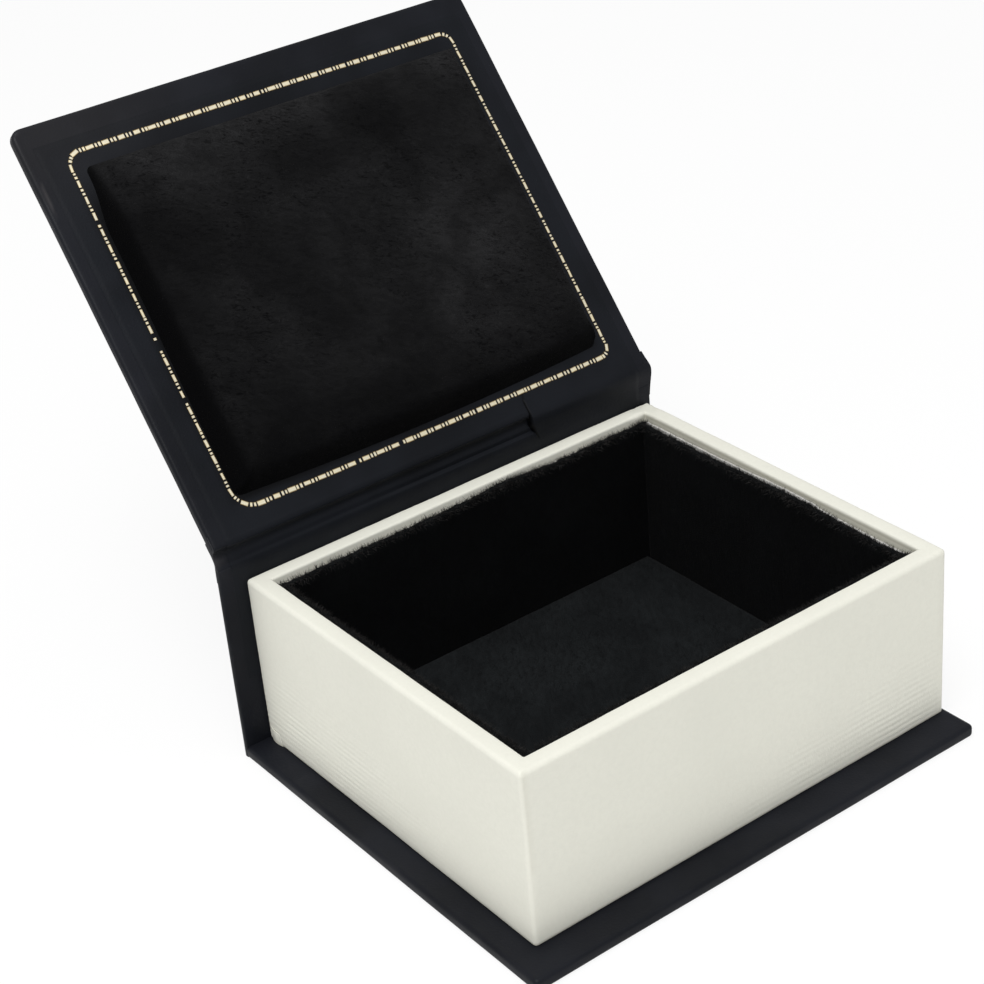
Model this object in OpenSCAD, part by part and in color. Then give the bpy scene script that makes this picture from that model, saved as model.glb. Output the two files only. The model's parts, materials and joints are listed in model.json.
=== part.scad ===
// Hinged display box: a wrapped board case, book style, with a lined board tray
// glued to its base and a crowned velvet pad inside the lid. Millimetres, +Z up.
// Origin: centre of the underside of the base. The lid opens towards +Y (the back).

/* [Case] */
// Width of the wrapped lid and base
case_w = 102; // [90:0.5:120]
// Depth of the wrapped base, front edge to the outside of the spine
case_d = 88.8; // [84:0.2:110]
// Thickness of the greyboard in the lid and the base
board_t = 2; // [1.5:0.1:3]
// Thickness of the leatherette cover
cover_t = 0.2; // [0.15:0.05:0.4]
// Radius of the lid's front corners, seen from above
corner_r = 2.8; // [1.5:0.1:4]
// Radius of the base's front corners, seen from above
base_corner_r = 1.3; // [1:0.1:4]
// Radius that softens the wrapped board edges
edge_r = 0.7; // [0.4:0.05:0.9]
// Width of the cover that is turned in over the boards
turn_in_w = 15; // [10:0.5:20]
// Thickness of the spine card
spine_card_t = 0.8; // [0.5:0.1:1.2]
// Height of the spine card's top edge above the top face of a closed lid
spine_rise = 0.3; // [0:0.1:0.6]

/* [Tray] */
// Margin of the base beside the tray, were the tray in the middle
tray_side = 3.1; // [2.5:0.1:8]
// Margin of the base in front of the tray
tray_front = 6.6; // [4:0.1:10]
// Height of the wrapped tray
tray_h = 35.2; // [28:0.2:45]
// Sideways offset of the tray from the middle of the case
tray_shift = 2.1; // [-2.5:0.1:2.5]
// Thickness of the tray's wall boards
wall_t = 3; // [2.4:0.1:3.6]
// Thickness of the tray's floor board
floor_t = 2; // [1.5:0.1:3]
// Thickness of the paper wrap
wrap_t = 0.25; // [0.15:0.05:0.3]
// Radius of the tray's upright edges
tray_edge_r = 1.1; // [0.8:0.1:1.5]
// Radius of the rim's outer and inner edges
rim_r = 0.9; // [0.5:0.1:1.2]
// Depth to which the wrap is turned down inside the rim
rim_turn_in = 8; // [6:0.5:12]
// Width of the wrap that is turned under the floor
flange_w = 14; // [8:0.5:20]
// Leg of the paper stays that tie the wall boards at the corners
stay_w = 12; // [8:0.5:16]
// Thickness of the corner stays
stay_t = 0.15; // [0.1:0.05:0.15]
// Width of the folded paper flap low on the tray's rear left edge
flap_w = 3.4; // [2:0.1:5]
// Height of the folded paper flap
flap_h = 3; // [2:0.1:5]

/* [Lining] */
// Thickness of the lining cards
card_t = 0.7; // [0.5:0.05:1]
// Thickness of the velvet on the lining cards
velvet_t = 0.9; // [0.6:0.05:1.2]
// Drop from the rim to the top of the lining
lining_drop = 2.1; // [1.5:0.1:4]
// Gap between the wrapped wall and a lining card
lining_gap = 0.2; // [0.1:0.05:0.4]
// Gap between the right wall and its lining card
lining_gap_right = 0.8; // [0.2:0.1:1.2]
// Thickness of the floor pad's card
pad_card_t = 0.8; // [0.5:0.1:1.2]
// Thickness of the floor pad's foam at its edge
floor_foam_t = 1.4; // [0.8:0.1:3]
// Crown of the floor pad
floor_crown = 0.5; // [0.2:0.1:1]
// Gap between the floor pad and the lined walls
floor_pad_gap = 0.3; // [0.2:0.05:0.6]

/* [Lid] */
// Width of the cloth joint, from the lid's edge to the outside of the spine
joint_w = 2.9; // [2.5:0.1:3.5]
// Gap between the rim and the closed lid's inner face
lid_gap = 0.5; // [0.45:0.05:1]
// Angle by which the lid stands open from closed
lid_open = 129.4; // [0:0.2:200]
// Height of the hinge line above the top face of the closed lid
hinge_rise = 0.78; // [0.5:0.02:1]
// Distance of the hinge line in from the outside of the spine
hinge_inset = 0.22; // [0.1:0.02:0.4]
// Distance of the lid's front edge behind the base's
lid_short = 0.6; // [0:0.1:2]
// Thickness of the paper liner
liner_t = 0.15; // [0.1:0.05:0.2]
// Margin between the liner and the lid's side edges
liner_side = 2.75; // [2:0.25:6]
// Margin between the liner and the lid's front edge
liner_front = 4.5; // [3:0.25:6]

/* [Lid pad] */
// Space between the foot of the pad and the middle of the foil line, at the sides
pad_side = 2.2; // [1.5:0.1:5]
// The same at the front and the back
pad_end = 3; // [2:0.1:6]
// Height of the pad at its shoulder
pad_edge_h = 4.4; // [3:0.1:6]
// Crown of the pad above its shoulder
pad_crown = 1.6; // [0.5:0.1:3]
// Width of the sloping side of the pad
pad_slope = 4; // [2.5:0.1:6]
// Sideways offset of the pad and the border from the middle of the lid
pad_shift = 0.4; // [-1:0.1:1]
// Offset of the pad from the middle of the border, towards the hinge
pad_back = 0.35; // [-0.5:0.05:0.5]
// Thickness of the card under the pad's foam
lid_card_t = 1; // [0.6:0.1:1.5]

/* [Foil border] */
// Margin from the lid's side edges to the middle of the foil line
border_side = 7.3; // [6:0.1:12]
// The same from the front edge
border_front = 7.35; // [7:0.05:14]
// The same from the hinge edge
border_back = 4.75; // [4:0.05:12]
// Width of the foil line
foil_w = 0.8; // [0.6:0.1:1.5]
// Thickness of the foil
foil_t = 0.05; // [0.03:0.01:0.06]
// Radius of the border's corners
border_r = 4.6; // [3:0.1:8]
// Length of one repeat of a long dash and two bars
foil_pitch = 3.3; // [2.5:0.1:5]
// Number of bars round each corner
corner_bars = 5; // [3:1:7]

/* [Hidden] */

$fn = 48;
eps = 0.01;
over = 1;                 // how far a cutting solid runs past what it cuts
glue_gap = 0.05;          // bond line between the spine liner and the tray
stay_gap = 0.5;           // space above and below the corner stays
soft_gap = 0.05;          // space between the velvet and what it covers
joint_gap = 0.3;          // space between the lid and the ends of the hinge strips
spine_liner_h = 24;       // how far the liner runs down behind the tray
foam_gap = 0.1;           // space above the foam
flap_t = 0.3;             // thickness of the folded flap
flap_peak = 0.7;          // where the flap's upper corner lies, share of its width
flap_low = 0.75;          // height of that corner, share of the flap's height
shoulder_power = 2.2;     // how quickly a pad's side curves over to its top
corner_power = 16;        // how tightly a pad's corners are rounded
bridge_w = 26.6;          // width at the right where the hinge liner bridges the joint
cloth_t = 0.3;            // thickness of the hinge cloth with its turned-in ends
cloth_lead = 1;           // length over which the hinge cloth leaves the spine and the lid straight
liner_lead = 1.2;         // rise of the hinge liner as it leaves the spine
liner_lean = 0.2;         // and its lean towards the tray
press_back = 1.7;         // how far back the liner is pressed into the joint
press_down = 1.8;         // and how far down
bridge_lean = 0.3;        // lean of the liner towards the tray where it bridges the joint
bridge_down = 1.2;        // and how far down that starts

// Case
slab_t = board_t + 2*cover_t;
case_y0 = -case_d/2;
case_y1 = case_d/2;
spine_in = case_y1 - cover_t - spine_card_t;

// Tray
tray_y1 = spine_in - liner_t - glue_gap;
tray_y0 = case_y0 + tray_front;
tray_w = case_w - 2*tray_side;
tray_d = tray_y1 - tray_y0;
tray_cy = (tray_y0 + tray_y1)/2;
tray_z0 = slab_t;
rim_z = tray_z0 + tray_h;
rim_t = wall_t + 2*wrap_t;
board_in = wrap_t + wall_t;        // inner face of the wall boards, from the outside

// Lining
lining_top = rim_z - lining_drop;
lining_z0 = tray_z0 + wrap_t + floor_t;
lined = card_t + velvet_t;
lining_y0 = tray_y0 + rim_t + lining_gap;
lining_y1 = tray_y1 - rim_t - lining_gap;
lining_x0 = tray_shift - tray_w/2 + rim_t + lining_gap;
lining_x1 = tray_shift + tray_w/2 - rim_t - lining_gap_right;
side_y0 = lining_y0 + lined;       // the side linings stand between the other two
side_y1 = lining_y1 - lined;

// Floor pad
floor_w = lining_x1 - lining_x0 - 2*lined - 2*floor_pad_gap;
floor_d = side_y1 - side_y0 - 2*floor_pad_gap;
floor_cx = (lining_x0 + lining_x1)/2;
floor_cy = (side_y0 + side_y1)/2;
floor_slope = 2;
floor_pull = 0.3;

// Lid, closed
lid_z0 = rim_z + lid_gap;
lid_z1 = lid_z0 + slab_t;
lid_y0 = case_y0 + lid_short;
lid_d = case_d - lid_short - joint_w;
lid_y1 = lid_y0 + lid_d;
spine_top = lid_z1 + spine_rise;
hinge_y = case_y1 - hinge_inset;
hinge_z = lid_z1 + hinge_rise;
liner_z = lid_z0 - liner_t;        // inner surface of the liner on the closed lid
border_w = case_w - 2*border_side;
border_d = lid_d - border_front - border_back;
border_cy = lid_y0 + border_front + border_d/2;
pad_w = border_w - 2*pad_side;
pad_d = border_d - 2*pad_end;
pad_cy = border_cy + pad_back;
pad_pull = 0.6;                    // how far the pad's sides are drawn in

// Foil pattern, in shares of one repeat
dash_at = -0.22;
dash_share = 0.46;
bars_at = [0.18, 0.39];
bar_share = 0.13;
corner_share = 0.2;

// A point of the closed lid, [y, z], turned to where the lid stands open
function posed(p) = let (y = p[0] - hinge_y, z = p[1] - hinge_z)
    [hinge_y + y*cos(lid_open) + z*sin(lid_open),
     hinge_z - y*sin(lid_open) + z*cos(lid_open)];

module lid_pose() {
    translate([0, hinge_y, hinge_z]) rotate([-lid_open, 0, 0])
        translate([0, -hinge_y, -hinge_z]) children();
}

// Shared shapes

module rounded_rect(w, d, r) {
    square([w - 2*r, d], center = true);
    square([w, d - 2*r], center = true);
    for (sx = [-1, 1], sy = [-1, 1])
        translate([sx*(w/2 - r), sy*(d/2 - r)]) circle(r);
}

// Plan of a slab whose front and back corners have their own radii
module slab_plan(w, d, front, back) {
    translate([-w/2, -d/2 + front]) square([w, d - front - back]);
    translate([-w/2 + front, -d/2]) square([w - 2*front, d/2]);
    translate([-w/2 + back, 0]) square([w - 2*back, d/2]);
    for (s = [-1, 1]) {
        translate([s*(w/2 - front), -d/2 + front]) circle(front);
        translate([s*(w/2 - back), d/2 - back]) circle(back);
    }
}

// A slab on z = 0 with round corners and softened edges, centred in X and Y
module soft_slab(w, d, t, front, back, edge) {
    intersection() {
        linear_extrude(t) slab_plan(w, d, front, back);
        translate([0, d/2 + over, t/2]) rotate([90, 0, 0])
            linear_extrude(d + 2*over) rounded_rect(w, t, edge);
        translate([-w/2 - over, 0, t/2]) rotate([90, 0, 90])
            linear_extrude(w + 2*over) rounded_rect(d, t, edge);
    }
}

module block(x0, x1, y0, y1, z0, z1) {
    translate([x0, y0, z0]) cube([x1 - x0, y1 - y0, z1 - z0]);
}

// A [y, z] outline carried along X
module along_x(x0, x1) {
    translate([x0, 0, 0]) rotate([90, 0, 90]) linear_extrude(x1 - x0) children();
}

function bezier(p, n) = [for (i = [0:n]) let (t = i/n, s = 1 - t)
    s*s*s*p[0] + 3*s*s*t*p[1] + 3*s*t*t*p[2] + t*t*t*p[3]];

// Unit normal of a path at point i
function normal_at(path, i) =
    let (a = path[max(i - 1, 0)], b = path[min(i + 1, len(path) - 1)], d = b - a)
    [-d[1], d[0]]/norm(d);

// Outline of a strip of thickness t that follows a path
function ribbon(path, t) = concat(
    [for (i = [0:len(path) - 1]) path[i] + normal_at(path, i)*t/2],
    [for (i = [len(path) - 1:-1:0]) path[i] - normal_at(path, i)*t/2]);

// Crowned pad, foot on z = 0: a grid of heights that rises from the foot over a
// sloping shoulder, with the sides drawn in between the corners
function pad_rise(e, slope) = 1 - pow(1 - min(max(e, 0)/slope, 1), shoulder_power);
function pad_x(u, v, w, pull) = u*(w/2 - pull*(1 - v*v) - pull*pow(v, corner_power));
module crowned_pad(w, d, edge_h, crown, slope, pull, nu = 18, nv = 16) {
    us = [for (i = [0:nu]) -cos(180*i/nu)];
    vs = [for (j = [0:nv]) -cos(180*j/nv)];
    heights = [for (v = vs, u = us)
        edge_h*pad_rise((1 - abs(u))*w/2, slope)*pad_rise((1 - abs(v))*d/2, slope)
        + crown*(1 - u*u)*(1 - v*v)];
    plan = [for (v = vs, u = us) [pad_x(u, v, w, pull), pad_x(v, u, d, pull)]];
    row = nu + 1;
    rim = concat([for (i = [0:nu]) i], [for (j = [1:nv]) j*row + nu],
                 [for (i = [nu - 1:-1:0]) nv*row + i], [for (j = [nv - 1:-1:1]) j*row]);
    // each square of the grid is cut along the diagonal that points to the nearest corner
    top = [for (j = [0:nv - 1], i = [0:nu - 1], half = [0, 1])
        let (a = j*row + i, b = a + 1, c = a + row, e = c + 1,
             falling = (i < nu/2) != (j < nv/2))
        falling ? (half == 0 ? [a, c, b] : [b, c, e]) : (half == 0 ? [a, c, e] : [a, e, b])];
    middle = len(plan);
    foot = [for (k = [0:len(rim) - 1]) [rim[k], rim[(k + 1) % len(rim)], middle]];
    grid = [for (k = [0:middle - 1]) [plan[k][0], plan[k][1], heights[k]]];
    polyhedron(points = concat(grid, [[0, 0, 0]]), faces = concat(top, foot), convexity = 4);
}

// The tray as a wrapped block; inset steps in through the wrap to the boards
module tray_block(inset) {
    w = tray_w - 2*inset;
    d = tray_d - 2*inset;
    h = tray_h - 2*inset;
    r = rim_r - inset;
    translate([tray_shift, tray_cy, tray_z0 + inset]) intersection() {
        linear_extrude(h) rounded_rect(w, d, tray_edge_r - inset);
        rotate([90, 0, 0]) linear_extrude(d + 2*over, center = true) domed(w, h, r);
        rotate([90, 0, 90]) linear_extrude(w + 2*over, center = true) domed(d, h, r);
    }
}

// A wide rectangle on y = 0 with its two top corners rounded
module domed(w, h, r) {
    translate([-w/2, 0]) square([w, h - r]);
    translate([-w/2 + r, 0]) square([w - 2*r, h]);
    for (s = [-1, 1]) translate([s*(w/2 - r), h - r]) circle(r);
}

// The opening of the tray, flared so that the rim's inner edge is rounded
module tray_opening(inset) {
    w = tray_w - 2*rim_t + 2*inset;
    d = tray_d - 2*rim_t + 2*inset;
    h = tray_h - inset;
    r = rim_r - inset;
    translate([tray_shift, tray_cy, tray_z0]) intersection() {
        rotate([90, 0, 0]) linear_extrude(d + 2*r, center = true) flared(w, h, r);
        rotate([90, 0, 90]) linear_extrude(w + 2*r, center = true) flared(d, h, r);
    }
}

module flared(w, h, r) {
    difference() {
        translate([-w/2 - r, -over]) square([w + 2*r, h + 2*over]);
        for (s = [-1, 1]) translate([s*(w/2 + r), h - r]) circle(r);
        for (s = [-1, 1]) translate([s*(w/2 + r) - r, -2*over]) square([2*r, h - r + 2*over]);
    }
}

module tray_boards() {
    difference() {
        tray_block(wrap_t);
        tray_opening(wrap_t);
    }
}

// Plan of the tray, stepped in by inset, from z0 to z1
module tray_core(inset, z0, z1) {
    w = tray_w/2 - inset;
    block(tray_shift - w, tray_shift + w, tray_y0 + inset, tray_y1 - inset, z0, z1);
}

// Case

module base_board() {
    color("dimgray") intersection() {
        translate([0, over/2, cover_t])
            soft_slab(case_w - 2*cover_t, case_d - 2*cover_t + over, board_t,
                      base_corner_r - cover_t, base_corner_r - cover_t, edge_r - cover_t);
        block(-case_w, case_w, case_y0 - over, tray_y1, 0, slab_t);
    }
}

module base_cover() {
    color("#26282c") difference() {
        intersection() {
            translate([0, over, 0])
                soft_slab(case_w, case_d + 2*over, slab_t, base_corner_r, base_corner_r, edge_r);
            block(-case_w, case_w, case_y0 - over, spine_in, -over, slab_t + over);
        }
        intersection() {
            translate([0, over/2, cover_t])
                soft_slab(case_w - 2*cover_t, case_d - 2*cover_t + over, board_t,
                          base_corner_r - cover_t, base_corner_r - cover_t, edge_r - cover_t);
            block(-case_w, case_w, case_y0 - over, tray_y1, 0, slab_t);
        }
        block(-case_w/2 + turn_in_w, case_w/2 - turn_in_w,
              case_y0 + turn_in_w, case_y1, board_t, slab_t + over);
    }
}

// Outline of the spine, [y, z], with its lower back corner rounded
module spine_outline(inset) {
    r = edge_r - inset;
    y1 = case_y1 - inset;
    difference() {
        translate([spine_in, inset]) square([y1 - spine_in, spine_top - inset]);
        translate([y1 - r, inset - over]) square([r + over, r + over]);
    }
    translate([y1 - r, inset + r]) intersection() {
        circle(r);
        translate([0, -r]) square(r);
    }
}

module spine_card() {
    color("gray") along_x(-case_w/2 + cover_t, case_w/2 - cover_t) spine_outline(cover_t);
}

module spine_cover() {
    color("#26282c") difference() {
        along_x(-case_w/2, case_w/2) spine_outline(0);
        along_x(-case_w/2 + cover_t, case_w/2 - cover_t) union() {
            spine_outline(cover_t);
            translate([spine_in, spine_top - over]) square([spine_card_t, 2*over]);
        }
    }
}

module spine_liner() {
    color("#2c2e32") block(-case_w/2 + liner_side, case_w/2 - liner_side,
                           spine_in - liner_t, spine_in, spine_top - spine_liner_h, spine_top);
}

// Hinge strips, drawn as they lie with the lid open
module hinge_cloth() {
    lid_end = posed([lid_y1 + joint_gap, lid_z1 - cloth_t/2]);
    lid_way = posed([lid_y1 + joint_gap + cloth_lead, lid_z1 - cloth_t/2]) - lid_end;
    start = [case_y1 - cloth_t/2, spine_top];
    path = bezier([start, start + [0, cloth_lead], lid_end + lid_way, lid_end], 8);
    color("#26282c") along_x(-case_w/2, case_w/2) polygon(ribbon(path, cloth_t));
}

module hinge_liner() {
    lid_end = posed([lid_y1 + joint_gap, liner_z + liner_t/2]);
    start = [spine_in - liner_t/2, spine_top];
    rise = start + [-liner_lean, liner_lead];
    pressed = bezier([start, rise, lid_end + [press_back, -press_down], lid_end], 10);
    bridged = bezier([start, rise, lid_end - [bridge_lean, bridge_down], lid_end], 10);
    x0 = -case_w/2 + liner_side;
    x1 = case_w/2 - liner_side;
    color("#2c2e32") {
        along_x(x0, x1 - bridge_w) polygon(ribbon(pressed, liner_t));
        along_x(x1 - bridge_w - eps, x1) polygon(ribbon(bridged, liner_t));
    }
}

// Tray

module tray_front_wall() {
    color("burlywood") intersection() {
        tray_boards();
        tray_half(tray_y0 - over, tray_y0 + board_in);
    }
}

module tray_rear_wall() {
    color("burlywood") intersection() {
        tray_boards();
        tray_half(tray_y1 - board_in, tray_y1 + over);
    }
}

// The whole width of the tray between two depths
module tray_half(y0, y1) {
    block(tray_shift - tray_w, tray_shift + tray_w, y0, y1, tray_z0, rim_z + over);
}

module side_wall(side) {
    x_out = tray_shift + side*(tray_w/2 + over);
    x_in = tray_shift + side*(tray_w/2 - board_in);
    color("burlywood") intersection() {
        tray_boards();
        block(min(x_out, x_in), max(x_out, x_in), tray_y0 + board_in, tray_y1 - board_in,
              tray_z0, rim_z + over);
    }
}

module tray_left_wall() { side_wall(-1); }
module tray_right_wall() { side_wall(1); }

module tray_floor() {
    color("burlywood") tray_core(board_in, tray_z0 + wrap_t, tray_z0 + wrap_t + floor_t);
}

module corner_stays() {
    w = tray_w/2 - board_in;
    d = tray_d/2 - board_in;
    z0 = lining_z0 + stay_gap;
    z1 = rim_z - rim_turn_in - stay_gap;
    color("peru") translate([tray_shift, tray_cy, z0])
        for (sx = [-1, 1], sy = [-1, 1]) translate([sx*w, sy*d, 0]) scale([-sx, -sy, 1])
            linear_extrude(z1 - z0) {
                square([stay_w, stay_t]);
                square([stay_t, stay_w]);
            }
}

module tray_wrap() {
    color("ivory") difference() {
        tray_block(0);
        tray_opening_above_flange();
        intersection() {
            tray_boards();
            tray_core(-over, tray_z0 + wrap_t, rim_z);
        }
        tray_core(board_in, tray_z0 + wrap_t, rim_z - rim_turn_in);
        tray_core(flange_w, tray_z0 - over, tray_z0 + over);
    }
}

module tray_opening_above_flange() {
    intersection() {
        tray_opening(0);
        tray_core(0, tray_z0 + wrap_t, rim_z + 2*over);
    }
}

module wrap_corner_flap() {
    x0 = tray_shift - tray_w/2 - flap_t;
    y1 = tray_y1 - tray_edge_r;
    color("ivory") along_x(x0, x0 + flap_t) polygon([
        [y1, tray_z0], [y1, tray_z0 + flap_h],
        [y1 - flap_w*flap_peak, tray_z0 + flap_h*flap_low], [y1 - flap_w, tray_z0]]);
}

// Lining: a card on each wall with velvet on its inner face

module front_lining_card() {
    color("whitesmoke") block(lining_x0, lining_x1, lining_y0, lining_y0 + card_t,
                              lining_z0, lining_top);
}

module rear_lining_card() {
    color("whitesmoke") block(lining_x0, lining_x1, lining_y1 - card_t, lining_y1,
                              lining_z0, lining_top);
}

module left_lining_card() {
    color("whitesmoke") block(lining_x0, lining_x0 + card_t, side_y0, side_y1,
                              lining_z0, lining_top);
}

module right_lining_card() {
    color("whitesmoke") block(lining_x1 - card_t, lining_x1, side_y0, side_y1,
                              lining_z0, lining_top);
}

module front_velvet() {
    color("#141416") block(lining_x0, lining_x1, lining_y0 + card_t, side_y0,
                           lining_z0, lining_top);
}

module rear_velvet() {
    color("#141416") block(lining_x0, lining_x1, side_y1, lining_y1 - card_t,
                           lining_z0, lining_top);
}

module left_velvet() {
    color("#141416") block(lining_x0 + card_t, lining_x0 + lined, side_y0, side_y1,
                           lining_z0, lining_top);
}

module right_velvet() {
    color("#141416") block(lining_x1 - lined, lining_x1 - card_t, side_y0, side_y1,
                           lining_z0, lining_top);
}

// Floor pad: a card, foam and a velvet cap

module floor_pad_block(inset, top) {
    crowned_pad(floor_w - 2*inset, floor_d - 2*inset, top, floor_crown, floor_slope, floor_pull);
}

module floor_pad_card() {
    inset = velvet_t + floor_pull + floor_slope/2;
    color("whitesmoke") translate([floor_cx, floor_cy, lining_z0 + pad_card_t/2])
        cube([floor_w - 2*inset, floor_d - 2*inset, pad_card_t], center = true);
}

module floor_pad_foam() {
    color("darkgray") translate([floor_cx, floor_cy, lining_z0 + pad_card_t])
        floor_pad_block(velvet_t + floor_slope/2, floor_foam_t - foam_gap);
}

module floor_velvet() {
    color("#141416") translate([floor_cx, floor_cy, lining_z0]) difference() {
        floor_pad_block(0, pad_card_t + floor_foam_t + velvet_t);
        translate([0, 0, -eps])
            floor_pad_block(velvet_t, pad_card_t + floor_foam_t + soft_gap);
    }
}

// Lid

module lid_slab(inset) {
    translate([0, (lid_y0 + lid_y1)/2, lid_z0 + inset])
        soft_slab(case_w - 2*inset, lid_d - 2*inset, slab_t - 2*inset,
                  corner_r - inset, edge_r - inset, edge_r - inset);
}

module lid_board() {
    color("dimgray") lid_pose() lid_slab(cover_t);
}

module lid_cover() {
    color("#26282c") lid_pose() difference() {
        lid_slab(0);
        lid_slab(cover_t);
        block(-case_w/2 + turn_in_w, case_w/2 - turn_in_w,
              lid_y0 + turn_in_w, lid_y1 - turn_in_w, lid_z0 - over, lid_z0 + 2*cover_t);
    }
}

module lid_liner() {
    color("#2c2e32") lid_pose()
        block(-case_w/2 + liner_side, case_w/2 - liner_side,
              lid_y0 + liner_front, lid_y1 - edge_r, liner_z, lid_z0);
}

// Foil border: straight sides of a long dash and two bars, round corners of bars

// One repeat, centred on the origin, running along X
module foil_repeat() {
    translate([dash_at*foil_pitch, 0]) square([dash_share*foil_pitch, foil_w], center = true);
    for (x = bars_at)
        translate([x*foil_pitch, 0]) square([bar_share*foil_pitch, foil_w], center = true);
}

module foil_side(length) {
    count = floor(length/foil_pitch);
    step = length/count;
    for (i = [0:count - 1]) translate([-length/2 + (i + 0.5)*step, 0]) foil_repeat();
}

module foil_corner() {
    for (i = [0:corner_bars - 1]) rotate(90*(i + 0.5)/corner_bars)
        translate([border_r, 0]) square([foil_w, corner_share*foil_pitch], center = true);
}

module foil_border() {
    run_x = border_w - 2*border_r;
    run_y = border_d - 2*border_r;
    color("khaki") lid_pose() translate([pad_shift, border_cy, liner_z - foil_t])
        linear_extrude(foil_t) {
            for (s = [-1, 1]) {
                translate([0, s*border_d/2]) foil_side(run_x);
                translate([s*border_w/2, 0]) rotate(90) foil_side(run_y);
            }
            for (sx = [-1, 1], sy = [-1, 1])
                translate([sx*run_x/2, sy*run_y/2]) scale([sx, sy]) foil_corner();
        }
}

// Lid pad: it hangs from the liner of the closed lid

module pad_place() {
    lid_pose() translate([pad_shift, pad_cy, liner_z]) mirror([0, 0, 1]) children();
}

module lid_pad_block(inset, top) {
    crowned_pad(pad_w - 2*inset, pad_d - 2*inset, top, pad_crown, pad_slope, pad_pull);
}

module lid_pad_card() {
    inset = velvet_t + pad_pull + pad_slope/2;
    color("whitesmoke") pad_place() translate([0, 0, lid_card_t/2])
        cube([pad_w - 2*inset, pad_d - 2*inset, lid_card_t], center = true);
}

module lid_pad_foam() {
    color("darkgray") pad_place() translate([0, 0, lid_card_t])
        lid_pad_block(velvet_t + pad_slope/2, pad_edge_h - velvet_t - lid_card_t - foam_gap);
}

module lid_pad_velvet() {
    color("#141416") pad_place() difference() {
        lid_pad_block(0, pad_edge_h);
        translate([0, 0, -eps]) lid_pad_block(velvet_t, pad_edge_h - velvet_t);
    }
}

base_board();
base_cover();
spine_card();
spine_cover();
spine_liner();
hinge_cloth();
hinge_liner();
tray_front_wall();
tray_rear_wall();
tray_left_wall();
tray_right_wall();
tray_floor();
corner_stays();
tray_wrap();
wrap_corner_flap();
front_lining_card();
rear_lining_card();
left_lining_card();
right_lining_card();
front_velvet();
rear_velvet();
left_velvet();
right_velvet();
floor_pad_card();
floor_pad_foam();
floor_velvet();
lid_board();
lid_cover();
lid_liner();
foil_border();
lid_pad_card();
lid_pad_foam();
lid_pad_velvet();
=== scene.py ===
"""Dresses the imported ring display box: a wrapped board case, a lined paper-covered tray, a velvet lid pad
and a foil border. Run it as a script in Blender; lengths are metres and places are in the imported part's frame."""

import json
import math

import bmesh
import bpy
import numpy as np
from bpy.props import FloatProperty, FloatVectorProperty, IntProperty, PointerProperty
from mathutils import Matrix, Vector, noise

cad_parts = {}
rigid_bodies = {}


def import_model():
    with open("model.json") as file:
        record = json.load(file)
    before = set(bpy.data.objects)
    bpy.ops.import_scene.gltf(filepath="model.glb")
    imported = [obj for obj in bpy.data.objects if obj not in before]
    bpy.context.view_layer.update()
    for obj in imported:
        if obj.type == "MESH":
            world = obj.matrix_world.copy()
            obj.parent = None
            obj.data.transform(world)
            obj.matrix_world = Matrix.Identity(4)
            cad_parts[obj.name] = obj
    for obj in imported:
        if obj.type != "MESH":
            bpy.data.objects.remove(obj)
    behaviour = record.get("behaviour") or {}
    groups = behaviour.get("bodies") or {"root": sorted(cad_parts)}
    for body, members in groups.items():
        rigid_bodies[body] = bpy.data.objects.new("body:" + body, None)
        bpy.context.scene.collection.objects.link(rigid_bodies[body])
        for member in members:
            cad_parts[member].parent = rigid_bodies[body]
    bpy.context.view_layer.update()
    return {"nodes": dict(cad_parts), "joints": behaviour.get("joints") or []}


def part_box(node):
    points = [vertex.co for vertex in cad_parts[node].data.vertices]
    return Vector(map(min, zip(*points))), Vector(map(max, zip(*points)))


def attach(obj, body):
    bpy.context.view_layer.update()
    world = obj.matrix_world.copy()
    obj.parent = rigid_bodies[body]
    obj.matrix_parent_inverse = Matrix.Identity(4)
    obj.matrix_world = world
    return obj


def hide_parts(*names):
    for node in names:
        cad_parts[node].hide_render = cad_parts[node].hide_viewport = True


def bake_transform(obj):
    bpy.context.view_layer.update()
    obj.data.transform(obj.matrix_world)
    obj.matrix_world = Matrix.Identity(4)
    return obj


bl_info = {
    "name": "Ring Display Box",
    "version": (1, 0, 0),
    "blender": (4, 5, 0),
    "location": "3D View > Sidebar > Ring Box",
    "description": "Covers, linings, pads and foil for the packed ring display box",
    "category": "Object",
}

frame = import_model()

MM = 0.001
HINGE = Vector(frame["joints"][0]["pos_m"])
LID_ANGLE = math.radians(-frame["joints"][0]["range_deg"][0])  # how far the lid stands open
TO_OPEN = Matrix.Translation(HINGE) @ Matrix.Rotation(-LID_ANGLE, 4, "X") @ Matrix.Translation(-HINGE)


def shut_box(node):
    """Lowest and highest corner of a lid node when the lid is shut."""
    back = np.array(TO_OPEN.inverted())
    co = np.array([v.co for v in frame["nodes"][node].data.vertices]) @ back[:3, :3].T + back[:3, 3]
    return Vector(co.min(0)), Vector(co.max(0))


# Settings


def length(name, text, default):
    return FloatProperty(name=name, description=text, default=default, min=0.0, unit="LENGTH", precision=5)


def colour(name, text, default):
    return FloatVectorProperty(
        name=name, description=text, default=default, subtype="COLOR", size=3, min=0.0, max=1.0
    )


def amount(name, text, default):
    return FloatProperty(name=name, description=text, default=default, min=0.0)


def angle(name, text, degrees):
    return FloatProperty(name=name, description=text, default=math.radians(degrees), unit="ROTATION")


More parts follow.
